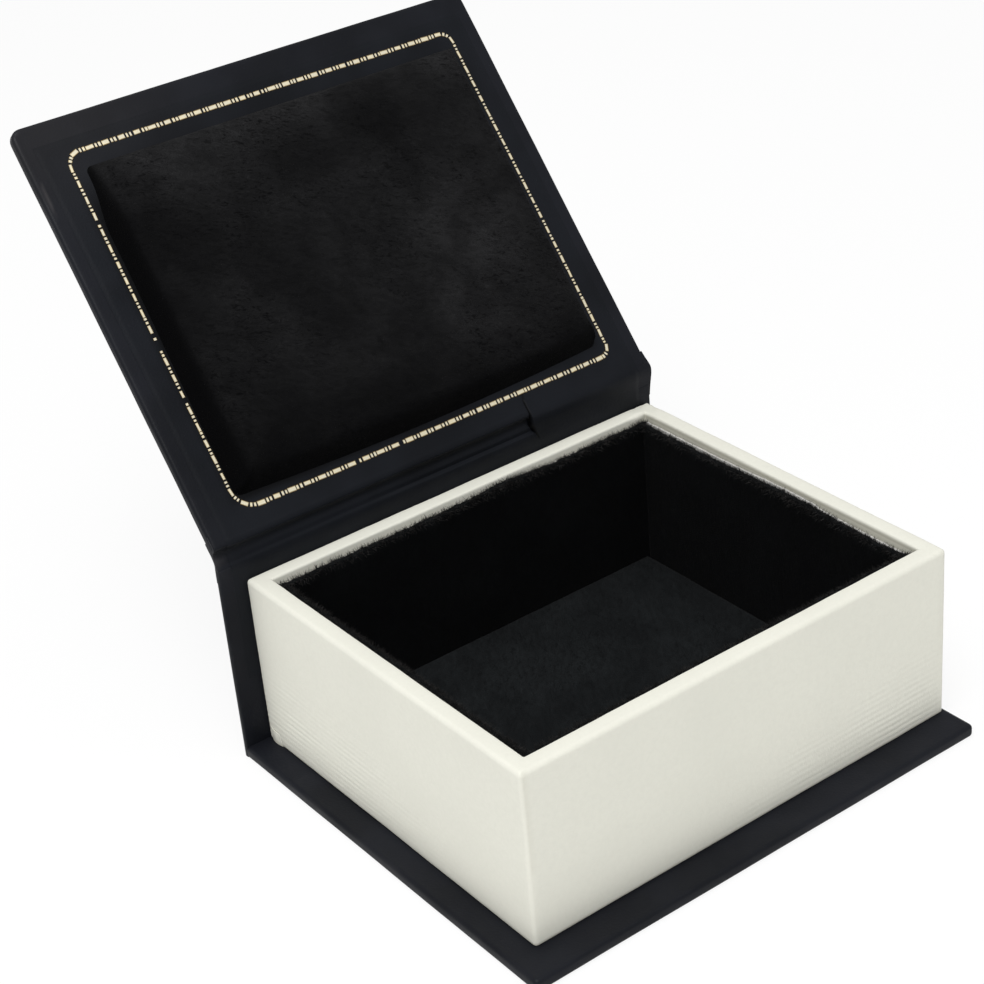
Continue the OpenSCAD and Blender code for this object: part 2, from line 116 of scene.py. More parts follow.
class CaseSettings(bpy.types.PropertyGroup):
    corner: length("Lid corners", "Radius of the lid's front corners", 2.2 * MM)
    base_corner: length("Base corners", "Radius of the base's front corners", 0.9 * MM)
    edge: length("Edge radius", "Softening of the wrapped board edges", 0.7 * MM)
    wave: length("Unevenness", "Depth of the slow waves in the boards' cover", 0.05 * MM)
    leather: colour("Leatherette", "Cover of the case", (0.0078, 0.0086, 0.0116))
    liner: colour("Liner", "Liner inside the lid and over the joint", (0.0063, 0.0073, 0.0099))
    # worn is also the colour of the painted light on the lid's and the liner's left free corner
    worn: colour("Worn edge", "Where the cover has rubbed", (0.105, 0.098, 0.098))


class TraySettings(bpy.types.PropertyGroup):
    edge: length("Edge radius", "Radius of the upright edges", 0.7 * MM)
    rim: length("Rim radius", "Radius of the rim's outer edge", 0.9 * MM)
    lip: length("Lip radius", "Radius of the rim's inner edge", 0.45 * MM)
    paper: length("Paper", "Thickness of the wrap", 0.25 * MM)
    ridge_pitch: length("Ridge pitch", "Distance between the fine ridges of the wrap", 1.2 * MM)
    ridge_depth: length("Ridge depth", "Depth of the fine ridges", 0.10 * MM)
    cream: colour("Cream paper", "Paper on the tray", (0.752, 0.747, 0.664))
    card: colour("Lining card", "Edges of the lining cards", (0.46, 0.45, 0.43))
    board: colour("Greyboard", "Boards under the covers", (0.30, 0.27, 0.22))
    stay: colour("Corner stays", "Gummed paper inside the tray's corners", (0.42, 0.30, 0.17))


class VelvetSettings(bpy.types.PropertyGroup):
    pile: length("Pile", "Length of the pads' pile", 0.35 * MM)
    fringe: length("Fringe", "Length of the loose fibres along the lining's top edge", 1.2 * MM)
    soften: length("Softness", "Depth of the lining's soft unevenness", 0.07 * MM)
    stand: length("Standing edge", "How far the pile stands above the lining cards", 1.0 * MM)
    # cool and nap are the light colours that the "nap" value blends in; that value holds brushed nap and painted
    # light
    cool: colour("Lining nap", "Brushed pile of the lining and the floor", (0.0200, 0.0225, 0.0240))
    dark: colour("Velvet", "Pile seen from above", (0.0012, 0.0012, 0.0014))
    nap: colour("Brushed nap", "Pile brushed the other way", (0.0230, 0.0230, 0.0240))
    fibre: colour("Loose fibres", "Cut fibres along the lining's top edge", (0.016, 0.015, 0.0145))


class PadSettings(bpy.types.PropertyGroup):
    slope: length("Shoulder", "Width of the lid pad's steep sides", 1.4 * MM)
    shoulder: length("Shoulder height", "Height at which the side meets the top", 4.4 * MM)
    lean: length("Hinge shoulder", "Width of the lid pad's side towards the hinge", 3.4 * MM)
    corner: length("Corner radius", "Radius of the pad's corners at its foot", 1.2 * MM)
    pressure: amount("Filling", "Pressure of the foam against the velvet", 4.0)


class BorderSettings(bpy.types.PropertyGroup):
    pitch: length("Repeat", "Length of one long dash and two bars", 3.3 * MM)
    width: length("Line width", "Width of the foil line along the long sides", 0.97 * MM)
    thick: length("Foil thickness", "Height of the foil above the liner", 0.05 * MM)
    corner: length("Corner radius", "Middling radius of the border's corners", 3.8 * MM)
    seed: IntProperty(name="Seed", description="Which dashes are worn or out of line", default=7)
    gold: colour("Foil", "Colour of the foil", (0.93, 0.87, 0.68))
    # the brown of the painted shade round each dash's edge
    dash_edge_shade: colour("Foil edge", "Where the foil thins out", (0.24, 0.15, 0.035))


class StageSettings(bpy.types.PropertyGroup):
    camera: FloatVectorProperty(
        name="Camera",
        description="Where the camera stands",
        default=(-0.212171, -0.277584, 0.254448),
        unit="LENGTH",
    )
    azimuth: angle("Azimuth", "View direction, from +Y towards +X", 34.715)
    dip: angle("Dip", "View direction, down from the level", 29.602)
    roll: angle("Roll", "Turn about the view", 5.35)
    lens: amount("Lens", "Focal length on a 36 mm sensor", 84.583)
    sky: amount("Surround", "Strength of the even light", 0.525)
    key: amount("Key lamp", "Power of the lamp over the camera", 7.15)
    floor: colour("Floor", "Colour of the floor", (0.93, 0.93, 0.93))


SETTINGS = {
    "case_cover": CaseSettings,
    "tray_paper": TraySettings,
    "velvet": VelvetSettings,
    "lid_pad": PadSettings,
    "foil_border": BorderSettings,
    "stage": StageSettings,
}


# Node trees


def live(sockets, name):
    """The enabled socket of a name, on a node that has one for each kind of data."""
    return [s for s in sockets if s.enabled and s.name == name][0]


class Tree:
    """A node tree, written as short calls."""

    def __init__(self, tree):
        self.tree = tree

    def put(self, target, value):
        """Sets a socket, or links it where the value is another node's output."""
        if isinstance(value, bpy.types.NodeSocket):
            self.tree.links.new(value, target)
        elif hasattr(value, "__len__") and len(value) == 3 and len(target.default_value) == 4:
            target.default_value = (*value, 1.0)
        else:
            target.default_value = value

    def add(self, kind, inputs=None, **values):
        node = self.tree.nodes.new(kind)
        for key, value in values.items():
            setattr(node, key, value)
        for key, value in (inputs or {}).items():
            self.put(node.inputs[key], value)
        return node

    def maths(self, kind, a, b=0.0, c=0.0):
        return self.add("ShaderNodeMath", {0: a, 1: b, 2: c}, operation=kind).outputs[0]


# Materials


class Surface(Tree):
    """A material's nodes; gloss is the strength of its shine."""

    def __init__(self, name, gloss=0.5):
        self.material = bpy.data.materials.new(name)
        self.material.use_nodes = True
        super().__init__(self.material.node_tree)
        self.tree.nodes.clear()
        self.shader = self.add("ShaderNodeBsdfPrincipled", {"Specular IOR Level": gloss})
        self.output = self.add("ShaderNodeOutputMaterial", {"Surface": self.shader.outputs[0]})
        self.place = self.add("ShaderNodeTexCoord").outputs["Object"]

    def stretched(self, scale, turn):
        """Coordinates in which marks are scale times as long, along axes turned by turn."""
        inputs = {"Vector": self.place, "Rotation": turn, "Scale": scale}
        return self.add("ShaderNodeMapping", inputs, vector_type="TEXTURE").outputs[0]

    def grain(self, size, detail=2.0, rough=0.5, warp=0.0, source=None):
        """Noise whose marks are about size metres across, from 0 to 1."""
        inputs = {"Vector": source or self.place, "Scale": 0.5 / size, "Detail": detail}
        inputs |= {"Roughness": rough, "Distortion": warp}
        return self.add("ShaderNodeTexNoise", inputs).outputs["Fac"]

    def cells(self, size):
        inputs = {"Vector": self.place, "Scale": 1.0 / size}
        return self.add("ShaderNodeTexVoronoi", inputs, feature="SMOOTH_F1").outputs["Distance"]

    def ramp(self, value, low, high, out_low=0.0, out_high=1.0):
        """Maps low..high of a value onto out_low..out_high, held at the ends."""
        inputs = {"Value": value, "From Min": low, "From Max": high, "To Min": out_low, "To Max": out_high}
        return self.add("ShaderNodeMapRange", inputs, interpolation_type="SMOOTHSTEP").outputs["Result"]

    def blend(self, share, first, second):
        node = self.add("ShaderNodeMix", data_type="RGBA")
        for name, value in (("Factor", share), ("A", first), ("B", second)):
            self.put(live(node.inputs, name), value)
        return live(node.outputs, "Result")

    def mark(self, name):
        """A value painted on the mesh by name; 0 where a mesh has none."""
        return self.add("ShaderNodeAttribute", attribute_name=name).outputs["Fac"]

    def relief(self, *layers):
        """Bump from (height, depth in metres) layers, one over the other."""
        below = {}
        for height, depth in layers:
            bump = self.add("ShaderNodeBump", {"Height": height, "Distance": depth, **below})
            below = {"Normal": bump.outputs[0]}
        self.put(self.shader.inputs["Normal"], below["Normal"])

    def finish(self, **sockets):
        for name, value in sockets.items():
            self.put(self.shader.inputs[name.replace("_", " ")], value)
        return self.material


def darker(c, share):
    return tuple(x * share for x in c)


def leatherette(name, base, worn):
    """Fine-grained coated paper: pebbled grain, slow cloudiness, rubbed places and painted light where "worn" is
    painted, and painted shade where "shade" is painted.
    """
    s = Surface(name, 0.11)
    cloud = s.ramp(s.grain(9 * MM, 3.0), 0.35, 0.65)
    tone = s.blend(cloud, darker(base, 0.82), darker(base, 1.22))
    fleck = s.ramp(s.grain(0.35 * MM, 2.0), 0.62, 0.8, 0.0, 0.25)
    tone = s.blend(fleck, tone, darker(base, 1.8))
    # rubbed places and painted light where "worn" is painted, painted shade where "shade" is painted
    tone = s.blend(s.mark("worn"), tone, worn)
    tone = s.blend(s.mark("shade"), tone, darker(base, 0.05))
    pebbles = s.cells(0.45 * MM)
    s.relief((s.grain(6 * MM, 2.0), 0.25 * MM), (pebbles, 0.02 * MM), (s.grain(0.12 * MM, 1.0), 0.006 * MM))
    return s.finish(Base_Color=tone, Roughness=s.ramp(s.grain(4 * MM, 3.0), 0.3, 0.7, 0.42, 0.56))


def cream_paper(name, base):
    """Ivory wrapping paper: faint fibres, slight yellowing and a matt face."""
    s = Surface(name, 0.25)
    fibre = s.grain(0.5 * MM, 4.0, 0.65, 0.6)
    tone = s.blend(s.ramp(s.grain(14 * MM, 2.0), 0.3, 0.7), darker(base, 0.965), base)
    tone = s.blend(s.ramp(fibre, 0.3, 0.75, 0.0, 0.5), tone, darker(base, 0.93))
    # painted shade where "shade" is painted, with the seam line beside the front left edge
    tone = s.blend(s.mark("shade"), tone, (base[0] * 0.55, base[1] * 0.53, base[2] * 0.47))
    s.relief((fibre, 0.03 * MM), (s.grain(3 * MM, 2.0), 0.06 * MM))
    return s.finish(Base_Color=tone, Roughness=s.ramp(fibre, 0.3, 0.7, 0.62, 0.78))


def board(name, base):
    """Pressed board: speckled pulp."""
    s = Surface(name, 0.2)
    pulp = s.grain(0.4 * MM, 3.0, 0.6)
    tone = s.blend(s.ramp(pulp, 0.35, 0.65), darker(base, 0.8), darker(base, 1.12))
    s.relief((pulp, 0.04 * MM))
    return s.finish(Base_Color=tone, Roughness=s.ramp(pulp, 0.3, 0.7, 0.8, 0.95))


def velvet(name, dark, nap, along, turn, patchy, marked):
    """Short pile: soft patches and short dark and light strokes of brushed nap, most where "nap" is painted, a value
    that holds brushed nap with painted light and shade.
    """
    s = Surface(name, 0.03)
    combed = s.stretched(along, turn)
    patches = s.ramp(s.grain(7 * MM, 2.0, 0.5, 0.4), 0.36, 0.66, 0.5, 0.5 + patchy)
    crowd = s.ramp(s.grain(10 * MM, 2.0), 0.40, 0.60, 0.35, 1.0)
    fine = s.grain(0.34 * MM, 1.0, 0.5, 1.6, combed)
    broad = s.grain(0.9 * MM, 2.0, 0.5, 1.6, combed)
    dents = s.maths("MULTIPLY", s.ramp(fine, 0.30, 0.45, -marked, 0.0), crowd)
    glints = s.maths("MULTIPLY", s.ramp(fine, 0.60, 0.76, 0.0, 0.8 * marked), crowd)
    furrow = s.ramp(broad, 0.32, 0.68, -0.16, 0.16)
    tufts = s.ramp(s.grain(0.12 * MM, 2.0, 0.65), 0.3, 0.7)
    share = s.maths("ADD", s.maths("ADD", s.maths("ADD", dents, glints), furrow), 1.0)
    share = s.maths("MULTIPLY", s.maths("MULTIPLY", share, patches), s.ramp(tufts, 0.0, 1.0, 0.7, 1.0))
    # the "nap" value holds brushed nap and painted light and shade
    share = s.maths("MULTIPLY", share, s.mark("nap"))
    s.relief((broad, 0.05 * MM), (fine, 0.04 * MM), (tufts, 0.05 * MM))
    rough = s.ramp(tufts, 0.0, 1.0, 0.8, 1.0)
    return s.finish(Sheen_Weight=0.02, Sheen_Roughness=0.4, Base_Color=s.blend(share, dark, nap), Roughness=rough)


def loose_fibre(name, base):
    """Cut fibres, some lighter than others."""
    s = Surface(name, 0.1)
    light = s.ramp(s.grain(0.6 * MM, 2.0), 0.3, 0.7)
    return s.finish(Base_Color=s.blend(light, darker(base, 0.4), darker(base, 1.5)))


def gold_foil(name, base, edge):
    """Hot-stamped foil: bright in the middle of each dash, and brown round its edge with painted shade of the stamped
    groove.
    """
    s = Surface(name)
    worn = s.ramp(s.grain(0.5 * MM, 3.0, 0.6), 0.35, 0.7)
    tone = s.blend(worn, base, (base[0] * 0.94, base[1] * 0.90, base[2] * 0.80))
    # painted shade round the sides and ends of each dash
    sides = s.ramp(s.maths("ABSOLUTE", s.mark("across")), 0.26, 0.48)
    ends = s.ramp(s.maths("ABSOLUTE", s.mark("along")), 0.42, 0.50, 0.0, 0.8)
    tone = s.blend(s.maths("MAXIMUM", sides, ends), tone, edge)
    s.relief((s.grain(0.3 * MM, 2.0), 0.02 * MM))
    return s.finish(Metallic=0.6, Base_Color=tone, Roughness=s.ramp(worn, 0.0, 1.0, 0.36, 0.55))


def dress(piece, material):
    piece.data.materials.clear()
    piece.data.materials.append(material)


def dress_nodes(material, *nodes):
    for node in nodes:
        dress(frame["nodes"][node], material)


def made_of(piece, material, slot, *nodes):
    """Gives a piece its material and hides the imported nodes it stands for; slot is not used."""
    dress(piece, material)
    if nodes:
        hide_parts(*nodes)


# Curves of a value


def smoothstep(low, high, x):
    t = min(max((x - low) / (high - low), 0.0), 1.0)
    return t * t * (3 - 2 * t)


def between(x, a, b, c, d):
    """Rises from 0 to 1 over a..b and falls back to 0 over c..d."""
    return smoothstep(a, b, x) * (1 - smoothstep(c, d, x))


def hump(x, middle, wide):
    """A smooth hump of height 1 round middle."""
    return math.exp(-(((x - middle) / wide) ** 2))


def ripple(p, size, seed=0.0):
    """Smooth noise of about -1 to 1 whose waves are size metres long."""
    return noise.noise(Vector(p) / size + Vector((seed, 1.7 * seed, -0.6 * seed)))


def spaced(low, high, step):
    count = max(1, math.ceil((high - low) / step - 1e-6))
    return [low + (high - low) * i / count for i in range(count + 1)]


def respaced(line, count):
    """A line of points as count points at even distances."""
    line = np.array(line)
    run = np.concatenate([[0], np.cumsum(np.linalg.norm(np.diff(line, axis=0), axis=1))])
    stops = np.linspace(0, run[-1], count)
    return np.stack([np.interp(stops, run, line[:, k]) for k in range(line.shape[1])], axis=1)


def through(points, per_span):
    """A smooth line through points (Catmull-Rom), each a tuple of numbers."""
    p = [np.array(q, float) for q in points]
    p = [2 * p[0] - p[1], *p, 2 * p[-1] - p[-2]]
    line = []
    for a, b, c, d in zip(p, p[1:], p[2:], p[3:]):
        for t in (k / per_span for k in range(per_span)):
            bend, twist = 2 * a - 5 * b + 4 * c - d, 3 * b - a - 3 * c + d
            line.append(0.5 * (2 * b + (c - a) * t + bend * t**2 + twist * t**3))
    return line + [p[-2]]


# Meshes


def linked(name, mesh):
    piece = bpy.data.objects.new(name, mesh)
    bpy.context.scene.collection.objects.link(piece)
    return piece


def new_piece(name, points, faces, smooth=True):
    mesh = bpy.data.meshes.new(name)
    mesh.from_pydata([tuple(p) for p in points], [], faces)
    mesh.validate()
    piece = linked(name, mesh)
    outward(piece)
    if smooth:
        mesh.shade_smooth()
    return piece


def outward(piece):
    """Turns all faces of a closed mesh outwards."""
    shell = bmesh.new()
    shell.from_mesh(piece.data)
    bmesh.ops.recalc_face_normals(shell, faces=shell.faces)
    if shell.calc_volume(signed=True) < 0:
        bmesh.ops.reverse_faces(shell, faces=shell.faces)
    shell.to_mesh(piece.data)
    shell.free()
    piece.data.update()


def turned(piece, place):
    """Puts a finished mesh in its place."""
    piece.data.transform(place)
    piece.data.update()


def swell(piece, depth):
    """Moves each point of a piece along its normal by depth(point)."""
    moves = [v.normal * depth(v.co) for v in piece.data.vertices]
    for v, move in zip(piece.data.vertices, moves):
        v.co += move
    piece.data.update()


def mark_points(piece, name, values):
    piece.data.attributes.new(name, "FLOAT", "POINT").data.foreach_set("value", values)


def paint(piece, name, tone):
    """Writes tone(point) on a piece's points as a value that its material reads."""
    mark_points(piece, name, [tone(v.co) for v in piece.data.vertices])


def edge_marks(low, high, edge, corner, step):
    """Marks across a slab: close together round each soft edge, even in between."""
    lead = [edge * (1 - math.cos(math.pi / 2 * k / 4)) for k in range(4)]
    lead += spaced(edge, corner, 0.7 * MM)[:-1] if corner > edge else []
    inner = spaced(low + max(edge, corner), high - max(edge, corner), step)
    return [low + e for e in lead] + inner + [high - e for e in reversed(lead)]


def rounded(x, y, low, high, radii):
    """A point of a rectangle's grid, moved so that the corners are round; radii are (front, back)."""
    r = radii[0] if y < (low.y + high.y) / 2 else radii[1]
    ex, ey = min(x - low.x, high.x - x), min(y - low.y, high.y - y)
    if ex >= r or ey >= r:
        return x, y
    a, b = r - ex, r - ey
    pull = max(a, b) / math.hypot(a, b)
    px = high.x - r + a * pull if x > (low.x + high.x) / 2 else low.x + r - a * pull
    py = high.y - r + b * pull if y > (low.y + high.y) / 2 else low.y + r - b * pull
    return px, py


def ring_of(nx, ny):
    """Indices round the border of a grid of nx by ny points, in order."""
    right = [j * nx + nx - 1 for j in range(1, ny)]
    back = [(ny - 1) * nx + i for i in range(nx - 2, -1, -1)]
    return list(range(nx)) + right + back + [j * nx for j in range(ny - 2, 0, -1)]


def grid_faces(nx, ny, start=0):
    corners = [start + j * nx + i for j in range(ny - 1) for i in range(nx - 1)]
    return [(a, a + 1, a + nx + 1, a + nx) for a in corners]


def two_sided(name, face, back, nx, ny):
    """A closed mesh of two grids of nx by ny points, joined round their border."""
    size, ring = nx * ny, ring_of(nx, ny)
    around = [(size + a, size + b, b, a) for a, b in zip(ring, ring[1:] + ring[:1])]
    behind = [quad[::-1] for quad in grid_faces(nx, ny, size)]
    return new_piece(name, [*face, *back], grid_faces(nx, ny) + behind + around)


def slab(name, low, high, edge, radii, step, place=None):
    """A closed slab with soft edges and round corners. place turns its points into the frame."""
    xs = edge_marks(low.x, high.x, edge, max(radii), step)
    ys = edge_marks(low.y, high.y, edge, max(radii), step)
    place = place or Matrix.Identity(4)
    top, bottom = [], []
    for y in ys:
        for x in xs:
            e = min(x - low.x, high.x - x, y - low.y, high.y - y)
            drop = edge - math.sqrt(max(edge**2 - (edge - e) ** 2, 0.0)) if e < edge else 0.0
            spot = rounded(x, y, low, high, radii)
            top.append(place @ Vector((*spot, high.z - drop)))
            bottom.append(place @ Vector((*spot, low.z + drop)))
    return two_sided(name, top, bottom, len(xs), len(ys))


def sheet(name, rows, thickness, sunk=None):
    """A closed thin sheet from rows of points. thickness goes to the back of the rows' face, or is the back's own
    rows; sunk gives how far each point of the face is let down towards the back."""
    g = np.array([[tuple(p) for p in row] for row in rows])
    normal = np.cross(np.gradient(g, axis=1), np.gradient(g, axis=0))
    normal /= np.maximum(np.linalg.norm(normal, axis=2, keepdims=True), 1e-12)
    back = g - normal * thickness if isinstance(thickness, float) else np.array(thickness)
    if sunk is not None:
        g = g - normal * np.array(sunk)[..., None]
    ny, nx = g.shape[:2]
    piece = two_sided(name, g.reshape(-1, 3), back.reshape(-1, 3), nx, ny)
    piece.data.set_sharp_from_angle(angle=math.radians(50))
    return piece


# Geometry Nodes


class Recipe(Tree):
    """A Geometry Nodes tree with named inputs, each a kind of socket and a default."""

    def __init__(self, name, inputs):
        super().__init__(bpy.data.node_groups.new(name, "GeometryNodeTree"))
        self.ids = {}
        face = self.tree.interface
        face.new_socket(name="Geometry", in_out="INPUT", socket_type="NodeSocketGeometry")
        for label, (kind, default) in (inputs | {"Seed": ("Int", 1), "Material": ("Material", None)}).items():
            socket = face.new_socket(name=label, in_out="INPUT", socket_type="NodeSocket" + kind)
            if default is not None:
                socket.default_value = default
            self.ids[label] = socket.identifier
        face.new_socket(name="Geometry", in_out="OUTPUT", socket_type="NodeSocketGeometry")
        self.start = self.tree.nodes.new("NodeGroupInput")
        self.end = self.tree.nodes.new("NodeGroupOutput")

    def given(self, label):
        return self.start.outputs[label]

    def vector(self, kind, a, b):
        inputs = {0: a, "Scale" if kind == "SCALE" else 1: b}
        return self.add("ShaderNodeVectorMath", inputs, operation=kind).outputs[0]

    def chance(self, low, high, place):
        """A random number for each element, with the tree's seed and a place of its own."""
        node = self.add("FunctionNodeRandomValue", data_type="FLOAT")
        seed = self.maths("ADD", self.given("Seed"), place)
        for name, value in (("Min", low), ("Max", high), ("Seed", seed)):
            self.put(live(node.inputs, name), value)
        return live(node.outputs, "Value")

    def copies(self, spots, shape, way, size, **more):
        """Ends the tree with a copy of a shape at each spot, made real and given its material."""
        inputs = {"Points": spots, "Instance": shape, "Rotation": way, "Scale": size, **more}
        real = self.add(
            "GeometryNodeRealizeInstances", {"Geometry": self.add("GeometryNodeInstanceOnPoints", inputs).outputs[0]}
        )
        inputs = {"Geometry": real.outputs[0], "Material": self.given("Material")}
        self.put(self.end.inputs[0], self.add("GeometryNodeSetMaterial", inputs).outputs[0])
        return self

    def grow(self, base, name, values):
        """Applies the tree to base with these input values. The result is a new plain mesh; base is removed."""
        modifier = base.modifiers.new(name, "NODES")
        modifier.node_group = self.tree
        for label, value in values.items():
            modifier[self.ids[label]] = value
        seen = base.evaluated_get(bpy.context.evaluated_depsgraph_get())
        mesh = bpy.data.meshes.new_from_object(seen)
        bpy.data.objects.remove(base)
        mesh.name = name
        return linked(name, mesh)


def foil_recipe():
    """Dashes along a closed line: one long dash and two bars to a repeat, some worn or out of line."""
    # in shares of a repeat: the dash's centre, the bars' step and their distance from the dash, and the lengths
    centre, step, apart, dash, bar = 0.27, 0.22, 0.18, 0.475, 0.135
    side = 0.66  # the line's width up the lid's sides, against that along its ends
    r = Recipe(
        "foil_dashes",
        {
            "Repeats": ("Int", 10),
            "Line length": ("Float", 0.3),
            "Width": ("Float", 0.001),
            "Thickness": ("Float", 0.00005),
            "Jitter": ("Float", 0.0001),
            "Missing": ("Float", 0.03),
        },
    )
    curve = r.add("GeometryNodeMeshToCurve", {"Mesh": r.given("Geometry")})
    spots = r.add("GeometryNodePoints", {"Count": r.maths("MULTIPLY", r.given("Repeats"), 3.0)})
    index = r.add("GeometryNodeInputIndex").outputs[0]
    turn = r.maths("FLOOR", r.maths("DIVIDE", index, 3.0))
    kind = r.maths("SUBTRACT", index, r.maths("MULTIPLY", turn, 3.0))
    is_bar = r.maths("GREATER_THAN", kind, 0.5)
    middle = r.maths("ADD", r.maths("MULTIPLY_ADD", kind, step, centre), r.maths("MULTIPLY", is_bar, apart))
    repeat = r.maths("DIVIDE", r.given("Line length"), r.given("Repeats"))
    wander = r.maths("MULTIPLY", r.chance(-1.0, 1.0, 1.0), r.given("Jitter"))
    along = r.maths("ADD", r.maths("MULTIPLY", r.maths("ADD", turn, middle), repeat), wander)
    sample = r.add("GeometryNodeSampleCurve", {"Curves": curve.outputs[0], "Length": along}, mode="LENGTH")
    tangent = sample.outputs["Tangent"]
    share = r.maths("MULTIPLY_ADD", is_bar, bar - dash, dash)
    long_side = r.maths("MULTIPLY", r.maths("MULTIPLY", repeat, share), r.chance(0.82, 1.12, 2.0))
    wide_side = r.maths("MULTIPLY", r.given("Width"), r.chance(0.84, 1.06, 3.0))
    lying = r.maths("ABSOLUTE", r.add("ShaderNodeSeparateXYZ", {"Vector": tangent}).outputs["X"])
    wide_side = r.maths("MULTIPLY", wide_side, r.maths("MULTIPLY_ADD", lying, 1 - side, side))
    size = r.add("ShaderNodeCombineXYZ", {"X": long_side, "Y": wide_side, "Z": r.given("Thickness")})
    # each stroke of the tool sits a little to one side
    stroke_at = r.add("ShaderNodeCombineXYZ", {"X": turn, "Y": r.given("Seed")}).outputs[0]
    stroke = r.add("ShaderNodeTexNoise", {"Vector": stroke_at, "Scale": 0.17, "Detail": 1.0}).outputs["Fac"]
    off = r.maths("MULTIPLY", r.maths("SUBTRACT", stroke, 0.5), r.maths("MULTIPLY", r.given("Jitter"), 4.0))
    shift = r.vector("SCALE", r.vector("CROSS_PRODUCT", tangent, (0, 0, 1)), off)
    place = r.vector("ADD", sample.outputs["Position"], shift)
    laid = r.add("GeometryNodeSetPosition", {"Geometry": spots.outputs[0], "Position": place})
    way = r.add("FunctionNodeAlignRotationToVector", {"Vector": tangent}, axis="X")
    shape = r.add("GeometryNodeMeshCube", {"Size": (1.0, 1.0, 1.0)})
    spot = r.add("ShaderNodeSeparateXYZ", {"Vector": r.add("GeometryNodeInputPosition").outputs[0]})
    for label, axis in (("along", "X"), ("across", "Y")):
        inputs = {"Geometry": shape.outputs[0], "Name": label}
        shape = r.add("GeometryNodeStoreNamedAttribute", inputs, data_type="FLOAT")
        r.put(live(shape.inputs, "Value"), spot.outputs[axis])
    kept = r.maths("GREATER_THAN", r.chance(0.0, 1.0, 4.0), r.given("Missing"))
    return r.copies(laid.outputs[0], shape.outputs[0], way.outputs[0], size.outputs[0], Selection=kept)


def fibre_recipe():
    """Short tapered fibres scattered over a surface where the value "pile" is painted, each leaning its own way."""
    r = Recipe(
        "loose_fibres",
        {
            "Density": ("Float", 1e6),
            "Length": ("Float", 0.0004),
            "Thickness": ("Float", 0.00004),
            "Lean": ("Float", 0.8),
            "Comb": ("Float", 0.0),
            "Comb size": ("Float", 0.005),
        },
    )
    painted = r.add("GeometryNodeInputNamedAttribute", {"Name": "pile"}, data_type="FLOAT")
    density = r.maths("MULTIPLY", r.given("Density"), live(painted.outputs, "Attribute"))
    spots = r.add("GeometryNodeDistributePointsOnFaces", distribute_method="RANDOM")
    for name, value in (("Mesh", r.given("Geometry")), ("Density", density), ("Seed", r.given("Seed"))):
        r.put(live(spots.inputs, name), value)
    sway = r.add("ShaderNodeCombineXYZ", {axis: r.chance(-1.0, 1.0, k) for k, axis in enumerate("XYZ", 1)})
    leaning = r.vector("SCALE", sway.outputs[0], r.given("Lean"))
    # neighbours lean the same way, by a slow noise
    place = r.add("GeometryNodeInputPosition").outputs[0]
    scale = r.maths("DIVIDE", 1.0, r.given("Comb size"))
    slow = r.add("ShaderNodeTexNoise", {"Vector": place, "Scale": scale, "Detail": 1.0}).outputs["Color"]
    kept = r.add("GeometryNodeCaptureAttribute", {"Geometry": spots.outputs["Points"]})
    kept.capture_items.new("VECTOR", "Combed")
    combed = r.vector("SCALE", r.vector("SUBTRACT", slow, (0.5, 0.5, 0.5)), r.given("Comb"))
    r.put(kept.inputs["Combed"], combed)
    way = r.vector("ADD", r.vector("ADD", spots.outputs["Normal"], kept.outputs["Combed"]), leaning)
    turn = r.add("FunctionNodeAlignRotationToVector", {"Vector": way}, axis="Z")
    inputs = {"Vertices": 3, "Radius Top": 0.0, "Radius Bottom": 0.5, "Depth": 1.0}
    hair = r.add("GeometryNodeMeshCone", inputs, fill_type="TRIANGLE_FAN")
    tall = r.maths("MULTIPLY", r.given("Length"), r.chance(0.4, 1.0, 5.0))
    size = r.add("ShaderNodeCombineXYZ", {"X": r.given("Thickness"), "Y": r.given("Thickness"), "Z": tall})
    return r.copies(kept.outputs["Geometry"], hair.outputs["Mesh"], turn.outputs[0], size.outputs[0])


# Case


def case_worn(p):
    """Rubbed spots: the joint's left end and the edges on the left."""
    spot = (p - Vector((-50.7, 43.7, 42.8)) * MM).length / MM
    ends = 1 - smoothstep(0.2, 0.7, p.x / MM + 51)
    edge = 0.05 * ends * smoothstep(-0.1, 0.5, ripple(p, 6 * MM, 5))
    return 0.2 * (1 - smoothstep(0.5, 1.8, spot)) * (0.7 + 0.4 * ripple(p, 0.7 * MM, 3)) + edge


def case_wave(depth):
    return lambda p: depth * ripple(p, 17 * MM, 1) + 0.25 * depth * ripple(p, 3.5 * MM, 2)


def grey_board(context):
    found = bpy.data.materials.get("pressed_board")
    return found or board("pressed_board", context.scene.tray_paper.board)


